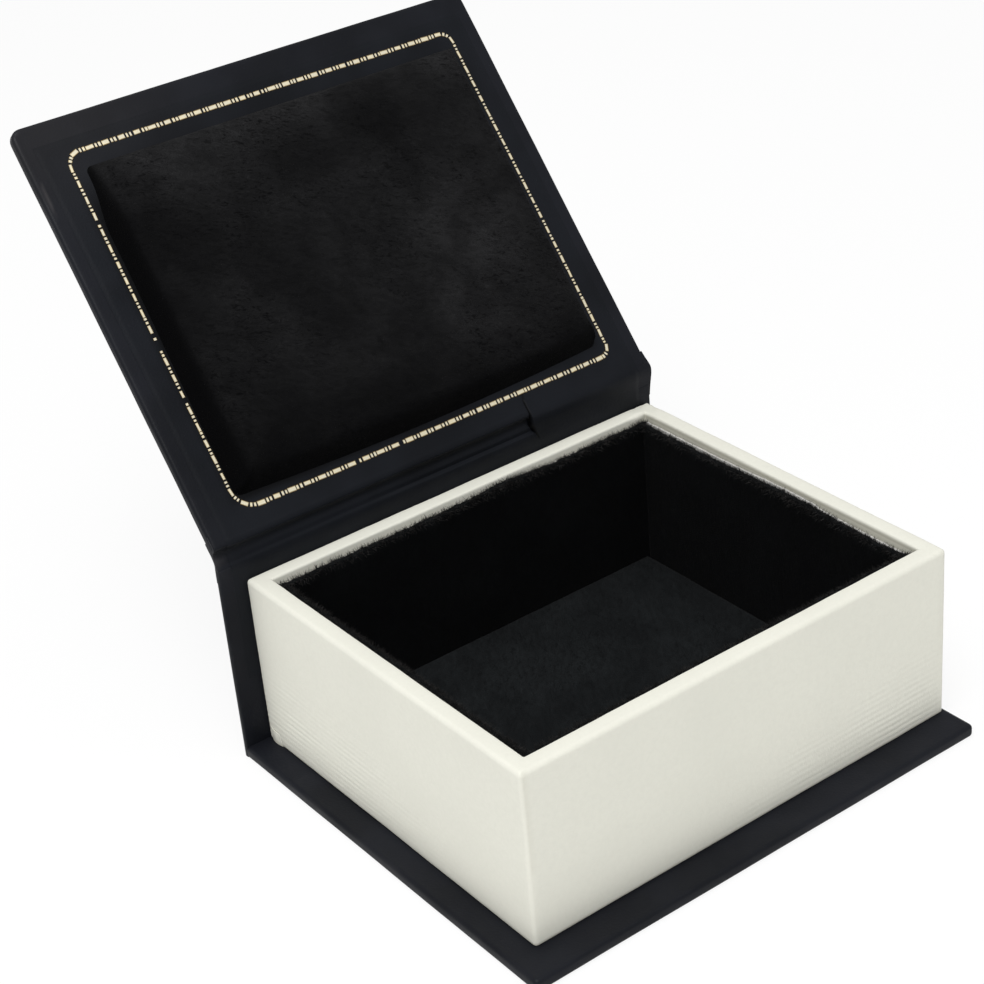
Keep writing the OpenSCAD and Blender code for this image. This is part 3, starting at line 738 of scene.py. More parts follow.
class BOX_OT_case_cover(bpy.types.Operator):
    """Wraps the base, the spine and the lid board in leatherette"""

    bl_idname = "ringbox.case_cover"
    bl_label = "Case cover"

    def execute(self, context):
        s = context.scene.case_cover
        cover = leatherette("cover_leatherette", s.leather, s.worn)
        low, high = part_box("base_cover")
        high.y += 0.5 * MM
        base = slab("base_wrap", low, high, s.edge, (s.base_corner, s.edge), 3 * MM)

        low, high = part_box("spine_cover")
        low.y -= 0.07 * MM
        high.z += 0.3 * MM
        soft = 0.35 * MM
        upright = Matrix(((1, 0, 0, 0), (0, 0, 1, 0), (0, 1, 0, 0), (0, 0, 0, 1)))
        spine = slab("spine_wrap", low.xzy, high.xzy, soft, (soft, soft), 3 * MM, upright)

        low, high = shut_box("lid_cover")
        lid = slab("lid_wrap", low, high, s.edge, (s.corner, s.edge), 1.7 * MM)
        swell(lid, lambda p: self.folds(p, low, high))
        paint(lid, "worn", lambda p: self.rubbed(p, low))
        turned(lid, TO_OPEN)

        pieces = ((base, "base_cover", "box"), (spine, "spine_cover", "box"), (lid, "lid_cover", "lid"))
        for piece, node, body in pieces:
            swell(piece, case_wave(s.wave * (0.3 if piece is spine else 1.0)))
            if piece is not lid:
                paint(piece, "worn", case_worn)
            made_of(piece, cover, "case_leatherette", node)
            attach(piece, body)
        dress_nodes(grey_board(context), "base_board", "spine_card", "lid_board")
        return {"FINISHED"}

    def folds(self, p, low, high):
        """Relief of the shut lid's cover: mitred turn-ins at the front corners and a loose margin on the left."""
        if p.z > low.z + 0.3 * MM:
            return 0.0
        side, y = min(p.x - low.x, high.x - p.x) / MM, (p.y - low.y) / MM
        mitre = hump(side, 0.9 * y, 0.5) * (1 - smoothstep(3.4, 7.5, side + y))
        loose = between((p.x - low.x) / MM, 0.5, 1.2, 1.8, 3.0) * between(y, 2, 8, 30, 45)
        return (-0.11 * mitre + 0.05 * loose * ripple(p, 4 * MM, 51)) * MM

    def rubbed(self, p, low):
        """A scratch beside the shut lid's left edge and a short one where its corner is folded, and painted light
        that lightens the corner at the free edge's left end.
        """
        if p.z > low.z + 0.5 * MM:
            return 0.0
        x, y = (p.x - low.x) / MM, (p.y - low.y) / MM
        line = hump(x, 1.1, 0.3) * between(y, 11, 13, 16, 18)
        fold = hump(y, 4.75, 0.35) * between(x, 2.8, 3.4, 4.5, 7.5)
        # the last term is painted light on the free edge's left corner
        return 0.28 * line + 0.3 * fold + 0.085 * hump(x, 8, 22) * hump(y, 0, 16)


# Joint: the strip of cover behind it and the liner over it


def turned_open(y, z):
    """A point (y, z) of the shut lid where it stands open, in millimetres."""
    p = TO_OPEN @ (Vector((0, y, z)) * MM)
    return p.y / MM, p.z / MM


class BOX_OT_joint(bpy.types.Operator):
    """Makes the flexible joint: the cover's free strip outside and the liner sheet inside"""

    bl_idname = "ringbox.joint"
    bl_label = "Joint cloth and liner"

    def execute(self, context):
        s = context.scene.case_cover
        self.plan()

        cloth = self.cloth()
        paint(cloth, "worn", case_worn)
        made_of(cloth, bpy.data.materials["cover_leatherette"], "case_leatherette", "hinge_cloth")
        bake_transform(cloth)

        liner = self.liner()
        material = leatherette("liner_leatherette", s.liner, s.worn)
        made_of(liner, material, "liner_leatherette", "lid_liner", "hinge_liner", "spine_liner")
        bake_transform(liner)
        return {"FINISHED"}

    def plan(self):
        """Lines over the joint's inner side, from behind the tray to the lid's inner face, in millimetres. On the
        left the liner is pressed once into the joint, in the middle twice, and right of a crease it bridges it."""
        low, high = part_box("spine_liner")
        wall, down, ridge = low.y / MM - 0.07, low.z / MM, high.z / MM + 0.3
        face, last = shut_box("lid_liner")[0].z / MM, shut_box("lid_cover")[1].y / MM
        tall = ridge - 0.7 - down
        start = [(wall, ridge - 0.7 - share * tall) for share in (1, 0.5, 0.25, 0.12, 0.05, 0)]
        ends = [turned_open(last - d, face) for d in (0.7, 1.6, 3)]
        shapes = {
            "once": ((0.12, 0.2), (0.42, 0.8), (0.6, 1.6), (0.92, 2.4), (0.95, 3.1), (0.34, 4.05)),
            "twice": ((0.1, 0.15), (0.66, 0.55), (0.66, 1.35), (1.02, 2.3), (1.0, 3.05), (0.32, 4.05)),
            "bridged": ((-0.04, 0.3), (-0.12, 1.2), (-0.22, 2.1), (-0.25, 2.9), (-0.16, 3.7), (0.14, 4.32)),
        }
        self.lines = {}
        for name, shape in shapes.items():
            self.lines[name] = through(start + [(wall + y, ridge + z) for y, z in shape] + ends, 6)
        self.count, self.ridge, self.last, self.crease = len(self.lines["once"]), ridge, last, 20.9

    def marks(self):
        """Where the sheets over the joint have points along the hinge: closer at the liner's edges and the crease."""
        low, high = (p.x / MM for p in shut_box("lid_liner"))
        edge = (0.0, 0.3, 0.6, 0.9, 1.2)
        fine = spaced(self.crease - 0.5, self.crease + 2.1, 0.13)
        even = [x for x in spaced(low + 2.4, high - 2.4, 1.3) if not fine[0] - 0.6 < x < fine[-1] + 0.6]
        return sorted(even + fine + [low + d for d in edge] + [high - d for d in edge])

    def off_crease(self, k, x):
        """How far right of the crease, which slants low down, point k of the joint's inner side is at x."""
        return x - self.crease - 0.5 * max(0.0, self.ridge + 1.9 - self.lines["once"][k][1])

    def inner_point(self, k, x):
        """Point k of the joint's inner side at x, as (y, z)."""
        once, twice, bridged = (self.lines[name][k] for name in ("once", "twice", "bridged"))
        pressed = smoothstep(-22, 0, x)
        off = self.off_crease(k, x)
        bridge = smoothstep(-0.1, 0.2, off)
        y, z = (1 - bridge) * ((1 - pressed) * once + pressed * twice) + bridge * bridged
        in_joint = between(z, self.ridge - 2, self.ridge, self.ridge + 6.5, self.ridge + 8.5)
        lift = 0.12 * math.exp(-abs(off) / 1.3) * bridge * in_joint
        fold = 0.22 * hump(off, 0, 0.17) * smoothstep(self.ridge - 1.8, self.ridge - 0.6, z)
        sag = 0.04 * in_joint * ripple((x, y, z), 5, 6)
        return y - 0.8 * (lift + sag - fold), z + 0.5 * lift - 0.3 * fold

    def crease_shade(self, k, x):
        """How much painted shade darkens the crease at point k of the joint's inner side and x."""
        z = self.lines["once"][k][1]
        return hump(self.off_crease(k, x), 0, 0.2) * smoothstep(self.ridge - 1.8, self.ridge - 0.6, z)

    def cloth(self):
        """The cover's strip: outside from the spine's face over a dip to the lid's, inside just behind the liner,
        so that the joint is closed at its two ends."""
        low, high = (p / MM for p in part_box("spine_cover"))
        lid = shut_box("lid_cover")[1] / MM
        outside = [(high.y + y, high.z + z) for y, z in ((0.02, -2.4), (0.03, -1.2), (0.01, 0), (0, 1.5))]
        outside += [turned_open(lid.y + y, lid.z + z) for y, z in ((0.2, 0.0), (-0.7, 0.04), (-2.2, 0.02))]
        first = next(k for k, p in enumerate(self.lines["once"]) if p[1] > high.z - 2.4)
        left, right = low.x + 0.05, high.x + 0.05
        columns = [left, left + 0.4, left + 1.2] + self.marks() + [right - 1.2, right - 0.4, right]
        rows = [
            [(x, y + 0.04 * ripple((x, y, z), 9, 4), z) for x in columns]
            for y, z in respaced(through(outside, 5), self.count - first)
        ]
        behind = []
        for x in columns:
            run = np.array([self.inner_point(k, x) for k in range(self.count)])
            way = np.gradient(run, axis=0)
            way /= np.linalg.norm(way, axis=1, keepdims=True)
            run += 0.24 * np.stack([way[:, 1], -way[:, 0]], axis=1)
            behind.append([(x, y, z) for y, z in run[first:]])
        rows, behind = np.array(rows) * MM, np.array(behind).transpose(1, 0, 2) * MM
        # the fold bulges a little at its right end
        along = np.sin(np.pi * np.linspace(0, 1, len(rows)))[:, None]
        bulge = 0.5 * MM * along * np.clip((np.array(columns) - right + 4) / 4, 0, 1)
        rows[:, :, 0] += bulge
        behind[:, :, 0] += bulge
        return sheet("joint_cloth", rows[::-1], behind[::-1])

    def liner(self):
        """One sheet: down inside the lid, over the joint and down the spine behind the tray, thin at its edges."""
        low, high = shut_box("lid_liner")
        pad_low, pad_high = (p / MM for p in shut_box("lid_pad_velvet"))
        thick = high.z - low.z
        low, high = low / MM, high / MM
        marks, joint = self.marks(), range(self.count)
        rows = [[Vector((x, *self.inner_point(k, x))) * MM for x in marks] for k in joint]
        shade = [[self.crease_shade(k, x) for x in marks] for k in joint]
        worn = [[0.0] * len(marks) for _ in joint]
        to_front = [math.inf] * self.count
        flat = spaced(low.y + 2.4, self.last - 3, 1.0)[-2::-1] + [low.y + d for d in (1.2, 0.9, 0.6, 0.3, 0.0)]
        for y in flat:
            # the crease runs on over the lid as far as the foil, lifted a little and with painted shade along it
            crease = self.crease + 0.12 * (self.last - 1 - y)
            fold = [smoothstep(self.last - 4.8, self.last - 3.6, y) * hump(x, crease, 0.2) for x in marks]
            rows.append([Vector((x, *turned_open(y, low.z + 0.14 * f))) * MM for x, f in zip(marks, fold)])
            # the pad's left side keeps the light off the liner beside it
            beside = 0.9 * between(y, pad_low.y, pad_low.y + 12, pad_high.y, pad_high.y + 2)
            dark = [beside * smoothstep(pad_low.x - 3.4, pad_low.x - 1.2, x) if x < 0 else 0.0 for x in marks]
            shade.append([min(1.0, f + d) for f, d in zip(fold, dark)])
            # painted light: the liner is lighter towards the free edge's left corner
            worn.append([0.05 * hump(x, -43, 24) * hump(y, low.y, 15) for x in marks])
            to_front.append(y - low.y)
        sunk = [
            [0.8 * thick * (1 - smoothstep(0.0, 1.1, min(d, x - low.x, high.x - x))) for x in marks]
            for d in to_front
        ]
        piece = sheet("liner_sheet", rows, thick, sunk)
        for name, values in (("shade", shade), ("worn", worn)):
            mark_points(piece, name, 2 * [v for row in values for v in row])
        return piece


# Foil border


class BOX_OT_foil_border(bpy.types.Operator):
    """Stamps the foil border of dashes and bars round the lid pad"""

    bl_idname = "ringbox.foil_border"
    bl_label = "Foil border"

    def execute(self, context):
        s = context.scene.foil_border
        low, high = shut_box("foil_border")
        half, steps, path = 0.55 * MM, 8, []
        # the corners are not alike: the right ones and the left free one are tighter
        corners = ((high.x, high.y, 0.6), (low.x, high.y, 1.15), (low.x, low.y, 0.8), (high.x, low.y, 0.6))
        for begin, (x, y, share) in enumerate(corners):
            r = share * s.corner
            cx = x - half - r if x == high.x else x + half + r
            cy = y - half - r if y == high.y else y + half + r
            for k in range(steps + 1):
                a = math.pi / 2 * (begin + k / steps)
                path.append(Vector((cx + r * math.cos(a), cy + r * math.sin(a), high.z - s.thick / 2)))
        around = sum((b - a).length for a, b in zip(path, path[1:] + path[:1]))
        mesh = bpy.data.meshes.new("border_line")
        mesh.from_pydata(path, [(i, (i + 1) % len(path)) for i in range(len(path))], [])
        values = {"Repeats": round(around / s.pitch), "Line length": around, "Width": s.width, "Thickness": s.thick}
        values |= {"Jitter": 0.06 * MM, "Missing": 0.02, "Seed": s.seed}
        values["Material"] = gold_foil("gold_foil", s.gold, s.dash_edge_shade)
        foil = foil_recipe().grow(linked("border_line", mesh), "foil_dashes", values)
        foil.data.transform(TO_OPEN)
        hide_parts("foil_border")
        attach(foil, "lid")
        return {"FINISHED"}


# Tray


def arc(cx, cz, r, start, stop, steps):
    """Points on a circle from start to stop degrees."""
    turns = (math.radians(start + (stop - start) * k / steps) for k in range(steps + 1))
    return [(cx + r * math.cos(a), cz + r * math.sin(a)) for a in turns]


class BOX_OT_tray_wrap(bpy.types.Operator):
    """Covers the tray in cream paper, over the rim and down inside it"""

    bl_idname = "ringbox.tray_wrap"
    bl_label = "Tray paper"

    def execute(self, context):
        s = context.scene.tray_paper
        self.wall = 3.5 * MM
        self.low, self.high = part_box("tray_wrap")
        low, high = self.low, self.high
        paper = cream_paper("wrap_paper", s.cream)
        rings = [[Vector((x, y, z)) for x, y in self.contour(depth, s.edge)] for depth, z in self.profile(s)]
        nx, ny = len(rings[0]), len(rings)
        faces = []
        for j in range(ny):
            for i in range(nx):
                k, m = (i + 1) % nx, (j + 1) % ny
                faces.append((j * nx + i, j * nx + k, m * nx + k, m * nx + i))
        wrap = new_piece("tray_paper_wrap", [p for ring in rings for p in ring], faces)
        mid = (low + high) / 2
        back_corner = high.copy()
        tuck_at = back_corner - Vector((self.wall + 1.9 * MM, self.wall, 0.4 * MM))

        def shape(p):
            """Fine ridges low on the walls, soft waves along the rim and a crumpled tuck at one corner."""
            height, left, front = (p.z - low.z) / MM, (p.x - low.x) / MM, (p.y - low.y) / MM
            ridges, run = 0.0, 0.5
            if left < 0.2:
                run = smoothstep(-30, 35, (p.y - mid.y) / MM)
            elif front < 0.2:
                run = smoothstep(-20, 45, (p.x - mid.x) / MM)
            if min(left, front, (high.x - p.x) / MM, (high.y - p.y) / MM) < 0.2:
                warp = 0.35 * ripple(p, 30 * MM, 8) + 0.1 * ripple((p.x, p.y, 0), 6 * MM, 9)
                crest = abs(math.sin(math.pi * ((p.z - low.z) / s.ridge_pitch + warp))) ** 0.7 - 0.6
                patchy = 0.35 + 0.65 * smoothstep(-0.3, 0.35, ripple((p.x, p.y, p.z * 3), 9 * MM, 10))
                low_down = 0.1 + 0.9 * (1 - smoothstep(6, 22, height))
                ridges = s.ridge_depth * crest * low_down * (0.12 + 0.88 * run) * patchy
                ridges *= between(height, 0.6, 1.5, 30, 34)
            waves = 0.05 * ripple(p, 12 * MM, 11) + 0.02 * ripple(p, 2.5 * MM, 12)
            waves += 0.03 * smoothstep(32, 34.5, height) * ripple((p.x, p.y, 0), 6 * MM, 16)
            near = 1 - smoothstep(1.5, 6, (p - back_corner).length / MM)
            crumple = -0.44 * near * abs(ripple(p, 1.6 * MM, 13))
            tuck = 0.5 * hump((p - tuck_at).length / MM, 0, 1.5)
            return ridges + (waves + crumple + tuck) * MM

        def shade(p):
            """Darkened places: the seam beside the front left edge, and painted shade in the crumpled corner, at the
            foot and on the turn-in.
            """
            up, depth = (p.z - low.z) / MM, (high.z - p.z) / MM
            # painted shade in the folds of the crumpled corner
            near = 1 - smoothstep(1.0, 5, (p - back_corner).length / MM)
            fold = 0.5 * near * smoothstep(0.12, 0.4, ripple(p, 1.2 * MM, 14))
            lap = turn_in = 0.0
            if p.y < low.y + 0.4 * MM:
                across = (p.x - low.x) / MM - 0.6 - 0.02 * depth
                lap = hump(across, 0, 0.4) * smoothstep(15, 19, up) + 0.9 * hump(across, 0, 0.6) * hump(up, 16, 1.2)
            # painted shade on the right wall's turn-in, and a little on the rear's
            if abs(high.x - self.wall - p.x) < 0.15 * MM and depth > 0.3:
                turn_in = 0.3 * smoothstep(0.3, 0.6, depth) + 0.4 * hump(depth, 0.9, 0.2)
            elif abs(high.y - self.wall - p.y) < 0.15 * MM:
                turn_in = 0.03 * smoothstep(0.4, 1.4, depth)
            # painted shade at the foot, where the wall meets the base
            foot = 0.3 * (1 - smoothstep(0.2, 1.0, up))
            return min(fold + 0.16 * lap + foot + turn_in, 1.0)

        swell(wrap, shape)
        paint(wrap, "shade", shade)
        made_of(wrap, paper, "wrap_paper", "tray_wrap")
        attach(wrap, "box")
        self.flap(paper)
        walls = ("tray_front_wall", "tray_rear_wall", "tray_left_wall", "tray_right_wall")
        dress_nodes(grey_board(context), *walls, "tray_floor")
        dress_nodes(board("stay_paper", s.stay), "corner_stays")
        return {"FINISHED"}

    def profile(self, s):
        """The paper's section as (depth from the tray's outer face, height): round the outside, then back inside."""
        wall, low, high = self.wall, self.low.z, self.high.z
        turn_in, flange, foot = 8 * MM, 14 * MM, 0.5 * MM
        rim, lip, t = s.rim, s.lip, s.paper
        line = [(flange, low), (flange / 2, low), (2 * MM, low)]
        line += arc(foot, low + foot, foot, -90, -180, 3)
        line += [(0.0, z) for z in spaced(low + foot, high - rim, 0.27 * MM)[1:-1]]
        line += arc(rim, high - rim, rim, 180, 90, 5) + arc(wall - lip, high - lip, lip, 90, 0, 4)
        down = spaced(high - 2.6 * MM, high - lip, 0.25 * MM)[-2::-1] + [high - 5 * MM, high - turn_in]
        line += [(wall, z) for z in down]
        line += [(wall - t, high - turn_in), (wall - t, high - lip)]
        line += arc(wall - lip, high - lip, lip - t, 0, 90, 3)[1:] + arc(rim, high - rim, rim - t, 90, 180, 3)
        return line + [(t, low + foot + t), (foot, low + t), (flange, low + t)]

    def contour(self, depth, edge):
        """A ring round the tray, depth in from its outer faces, with round corners."""
        low, high = self.low, self.high
        r = max(edge - depth, 0.3 * MM)
        x0, x1 = low.x + depth + r, high.x - depth - r
        y0, y1 = low.y + depth + r, high.y - depth - r
        middles = ((x1, y0), (x1, y1), (x0, y1), (x0, y0))
        counts = (round((high.y - low.y) / (1.2 * MM)), round((high.x - low.x) / (1.2 * MM)))
        line = []
        for k, (cx, cy) in enumerate(middles):
            turn = arc(cx, cy, r, 90 * k - 90, 90 * k, 4)
            (ax, ay), (bx, by) = turn[-1], arc(*middles[(k + 1) % 4], r, 90 * k, 90 * k, 1)[0]
            n = counts[k % 2]
            line += turn + [(ax + (bx - ax) * i / n, ay + (by - ay) * i / n) for i in range(1, n)]
        return line

    def flap(self, paper):
        """The fold of paper that stands off the rear left edge, low down."""
        low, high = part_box("wrap_corner_flap")
        rows = []
        for v in spaced(0, 1, 0.1):
            row = []
            for u in spaced(0, 1, 0.1):
                y = high.y - (high.y - low.y) * u * (1 - 0.25 * v)
                z = low.z + (high.z - low.z) * v * (1 - 0.2 * u)
                stand = 0.22 * math.sin(math.pi * min(u * 1.1, 1.0)) + 0.06 * ripple((0, y, z), 1.2 * MM, 15)
                row.append(Vector((high.x - (0.03 + stand) * MM, y, z + 0.05 * MM)))
            rows.append(row)
        piece = sheet("paper_flap", rows, 0.1 * MM)
        paint(piece, "shade", lambda p: 0.5 * (1 - smoothstep(0.1, 0.9, (p.z - low.z) / MM)))
        made_of(piece, paper, "wrap_paper", "wrap_corner_flap")
        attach(piece, "box")


# Lining


class BOX_OT_lining(bpy.types.Operator):
    """Lines the four walls with velvet on card, with loose fibres along the top"""

    bl_idname = "ringbox.lining"
    bl_label = "Wall lining"

    def execute(self, context):
        s = context.scene.velvet
        ground = velvet("wall_velvet", s.dark, s.cool, (1.0, 1.0, 2.5), (0.0, 0.0, 0.0), 0.2, 0.15)
        card = board("lining_card", context.scene.tray_paper.card)
        values = {"Density": 1.3e7, "Length": s.fringe, "Thickness": 0.12 * MM, "Lean": 0.9}
        values |= {"Comb": 1.2, "Comb size": 0.8 * MM, "Seed": 3}
        values["Material"] = loose_fibre("velvet_fibres", s.fibre)
        fibres = fibre_recipe()
        for side_name, along in (("front", 0), ("rear", 0), ("left", 1), ("right", 1)):
            side = 1 - along
            low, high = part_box(side_name + "_velvet")
            cards = high.z
            high.z += s.stand
            # a slab lies flat first: along the wall, up, and through the pile
            turn = Matrix.Identity(4)
            turn[0][0] = turn[1][1] = turn[2][2] = 0
            turn[along][0] = turn[2][1] = turn[side][2] = 1
            soft = 0.4 * (high[side] - low[side])
            flat_low, flat_high = (Vector((p[along], p.z, p[side])) for p in (low, high))
            piece = slab(side_name + "_wall_pile", flat_low, flat_high, soft, (soft, soft), 0.6 * MM, turn)
            for v in piece.data.vertices:
                run = v.co[along]
                ragged = 0.22 * ripple((run, 0, 0), 0.9 * MM, 26) + 0.12 * ripple((run, 0, 0), 2.3 * MM, 27)
                lift = s.stand * (self.rise(side_name, run) + ragged)
                v.co.z += lift * smoothstep(cards - 3 * MM, high.z, v.co.z)
            swell(piece, lambda p: s.soften * (ripple(p, 8 * MM, 20) + 0.5 * ripple(p, 2 * MM, 21)))
            paint(piece, "nap", lambda p: self.brushed(p, (p.z - high.z) / MM))
            made_of(piece, ground, "velvet", side_name + "_velvet")
            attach(piece, "box")

            copy = linked("fibre_ground", piece.data.copy())
            paint(copy, "pile", lambda p: smoothstep(high.z - 1.4 * MM, high.z - 0.3 * MM, p.z))
            fringe = fibres.grow(copy, side_name + "_edge_fibres", values)
            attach(fringe, "box")

            # the velvet's paper backing stands on the card, and shows as a ragged edge on the right
            bottom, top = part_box(side_name + "_lining_card")
            inner = bottom[side] if high[side] < top[side] else bottom[side] + 0.3 * MM
            flat_low = Vector((bottom[along] + 0.3 * MM, top.z - 1.0 * MM, inner))
            flat_high = Vector((top[along] - 0.3 * MM, top.z + 0.5 * MM, inner + 0.4 * MM))
            soft = 0.1 * MM
            backing = slab(side_name + "_backing", flat_low, flat_high, soft, (soft, soft), 0.5 * MM, turn)
            for v in backing.data.vertices:
                torn = self.torn(side_name, v.co[along], s.stand)
                v.co.z += torn * smoothstep(top.z, top.z + 0.4 * MM, v.co.z)
            made_of(backing, card, "lining_card")
            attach(backing, "box")
            dress_nodes(card, side_name + "_lining_card")
        dress_nodes(card, "floor_pad_card", "lid_pad_card")
        return {"FINISHED"}

    def brushed(self, p, above):
        """The nap is painted low on the walls, with painted light in a band along the top edge, where it catches the
        light, and a little in patches below it.
        """
        band = smoothstep(-2.6, -0.6, above) * (0.6 + 0.5 * ripple(p, 5 * MM, 22))
        return 0.18 + 0.6 * band + 0.08 * max(0.0, ripple(p, 14 * MM, 23))

    def rise(self, side, run):
        """How much higher than the rest the pile's top edge stands at a place along its wall, in shares."""
        if side == "rear":
            return 0.6 * hump(run / MM, 9, 8) - 0.08
        return 0.5 * hump(run / MM, -3, 13) - 0.2 if side == "right" else 0.0

    def torn(self, side, run, stand):
        """How far the paper backing reaches above its lowest edge at a place along its wall."""
        ragged = (0.10 * ripple((run, 0, 0), 0.7 * MM, 24) + 0.06 * ripple((run, 0, 0), 3 * MM, 25)) * MM
        if side != "right":
            return ragged
        bare = smoothstep(-10.8, -10.2, run / MM)
        return ragged + stand * self.rise(side, run) + (0.55 + 0.35 * bare) * MM


# Pads


def crowned(name, size, shoulder, crown, slopes, bow, corner, step):
    """The top of a pad of size (width, depth) on z = 0. It rises over sloping sides, slopes wide at its low x,
    high x, low y and high y side; bow is how far the low y side stands out in the middle."""
    high = Vector((*size, 0)) / 2
    low = -high

    def marks(start, end, first, last):
        shares = [k / 6 for k in range(6)]
        middle = spaced(start + first, end - last, step)
        return [start + first * k for k in shares] + middle + [end - last * k for k in shares[::-1]]

    xs, ys = marks(low.x, high.x, *slopes[:2]), marks(low.y, high.y, *slopes[2:])
    points = []
    for y in ys:
        for x in xs:
            u, v = 2 * x / size[0], 2 * y / size[1]
            in_from = (x - low.x, high.x - x, y - low.y, high.y - y)
            px, py = rounded(x, y, low, high, (corner, corner))
            py -= bow * (1 - u * u) * max(-v, 0.0)
            rise = 1 - (1 - min(1.0, *(way / slope for way, slope in zip(in_from, slopes)))) ** 2.2
            points.append(Vector((px, py, shoulder * rise + crown * (1 - u * u) * (1 - v * v))))
    return new_piece(name, points, grid_faces(len(xs), len(ys)))


def puffed(piece, pressure, cap):
    """Lets Blender's cloth settle over the filling, at ten times the size, and moves each point by at most cap."""
    scale, last = 10.0, 20
    cloth = linked("cloth_try", piece.data.copy())
    cloth.data.transform(Matrix.Scale(scale, 4))
    held = cloth.vertex_groups.new(name="foot")
    held.add([v.index for v in cloth.data.vertices if v.co.z < 1e-5], 1.0, "REPLACE")
    start = [v.co.copy() for v in cloth.data.vertices]
    modifier = cloth.modifiers.new("Cloth", "CLOTH")
    settings = modifier.settings
    settings.quality = 6
    settings.mass = 0.3
    settings.tension_stiffness = settings.compression_stiffness = 15
    settings.bending_stiffness = 0.3
    settings.shrink_min = -0.012
    settings.use_pressure = True
    settings.uniform_pressure_force = pressure
    settings.effector_weights.gravity = 0.0
    settings.vertex_group_mass = "foot"
    modifier.point_cache.frame_start, modifier.point_cache.frame_end = 1, last
    scene = bpy.context.scene
    for number in range(1, last + 1):
        scene.frame_set(number)
    seen = cloth.evaluated_get(bpy.context.evaluated_depsgraph_get())
    moved = [v.co.copy() for v in seen.data.vertices]
    scene.frame_set(1)
    bpy.data.objects.remove(cloth)
    for v, a, b in zip(piece.data.vertices, start, moved):
        move = (b - a) / scale
        if move.length > cap:
            move *= cap / move.length
        v.co += move
    piece.data.update()


def closed_below(piece):
    """Closes a pad's open foot with a flat face."""
    shell = bmesh.new()
    shell.from_mesh(piece.data)
    rim = [e for e in shell.edges if e.is_boundary]
    made = bmesh.ops.contextual_create(shell, geom=rim)
    bmesh.ops.triangulate(shell, faces=made["faces"])
    shell.to_mesh(piece.data)
    shell.free()
    outward(piece)
    piece.data.shade_smooth()
    piece.data.set_sharp_from_angle(angle=math.radians(65))
    piece.data.update()


def grow_pile(pad, name, settings, body):
    """Grows short combed pile over a finished pad, as a piece of its own."""
    ground = linked("pile_ground", pad.data.copy())
    middle = sum((v.normal for v in ground.data.vertices), Vector()).normalized()
    # the pile is sparse where "nap" is low, which includes its painted shade
    nap = [value.value for value in ground.data.attributes["nap"].data]
    tops = [max(0.0, v.normal.dot(middle)) for v in ground.data.vertices]
    mark_points(ground, "pile", [top * min(1.0, 0.1 + tone) for top, tone in zip(tops, nap)])
    fibre = bpy.data.materials.get("pile_fibres") or loose_fibre("pile_fibres", darker(settings.nap, 0.55))
    values = {"Density": 3.2e6, "Length": settings.pile, "Thickness": 0.07 * MM, "Lean": 0.5}
    values |= {"Comb": 3.0, "Comb size": 7 * MM, "Seed": 5, "Material": fibre}
    pile = fibre_recipe().grow(ground, name, values)
    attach(pile, body)


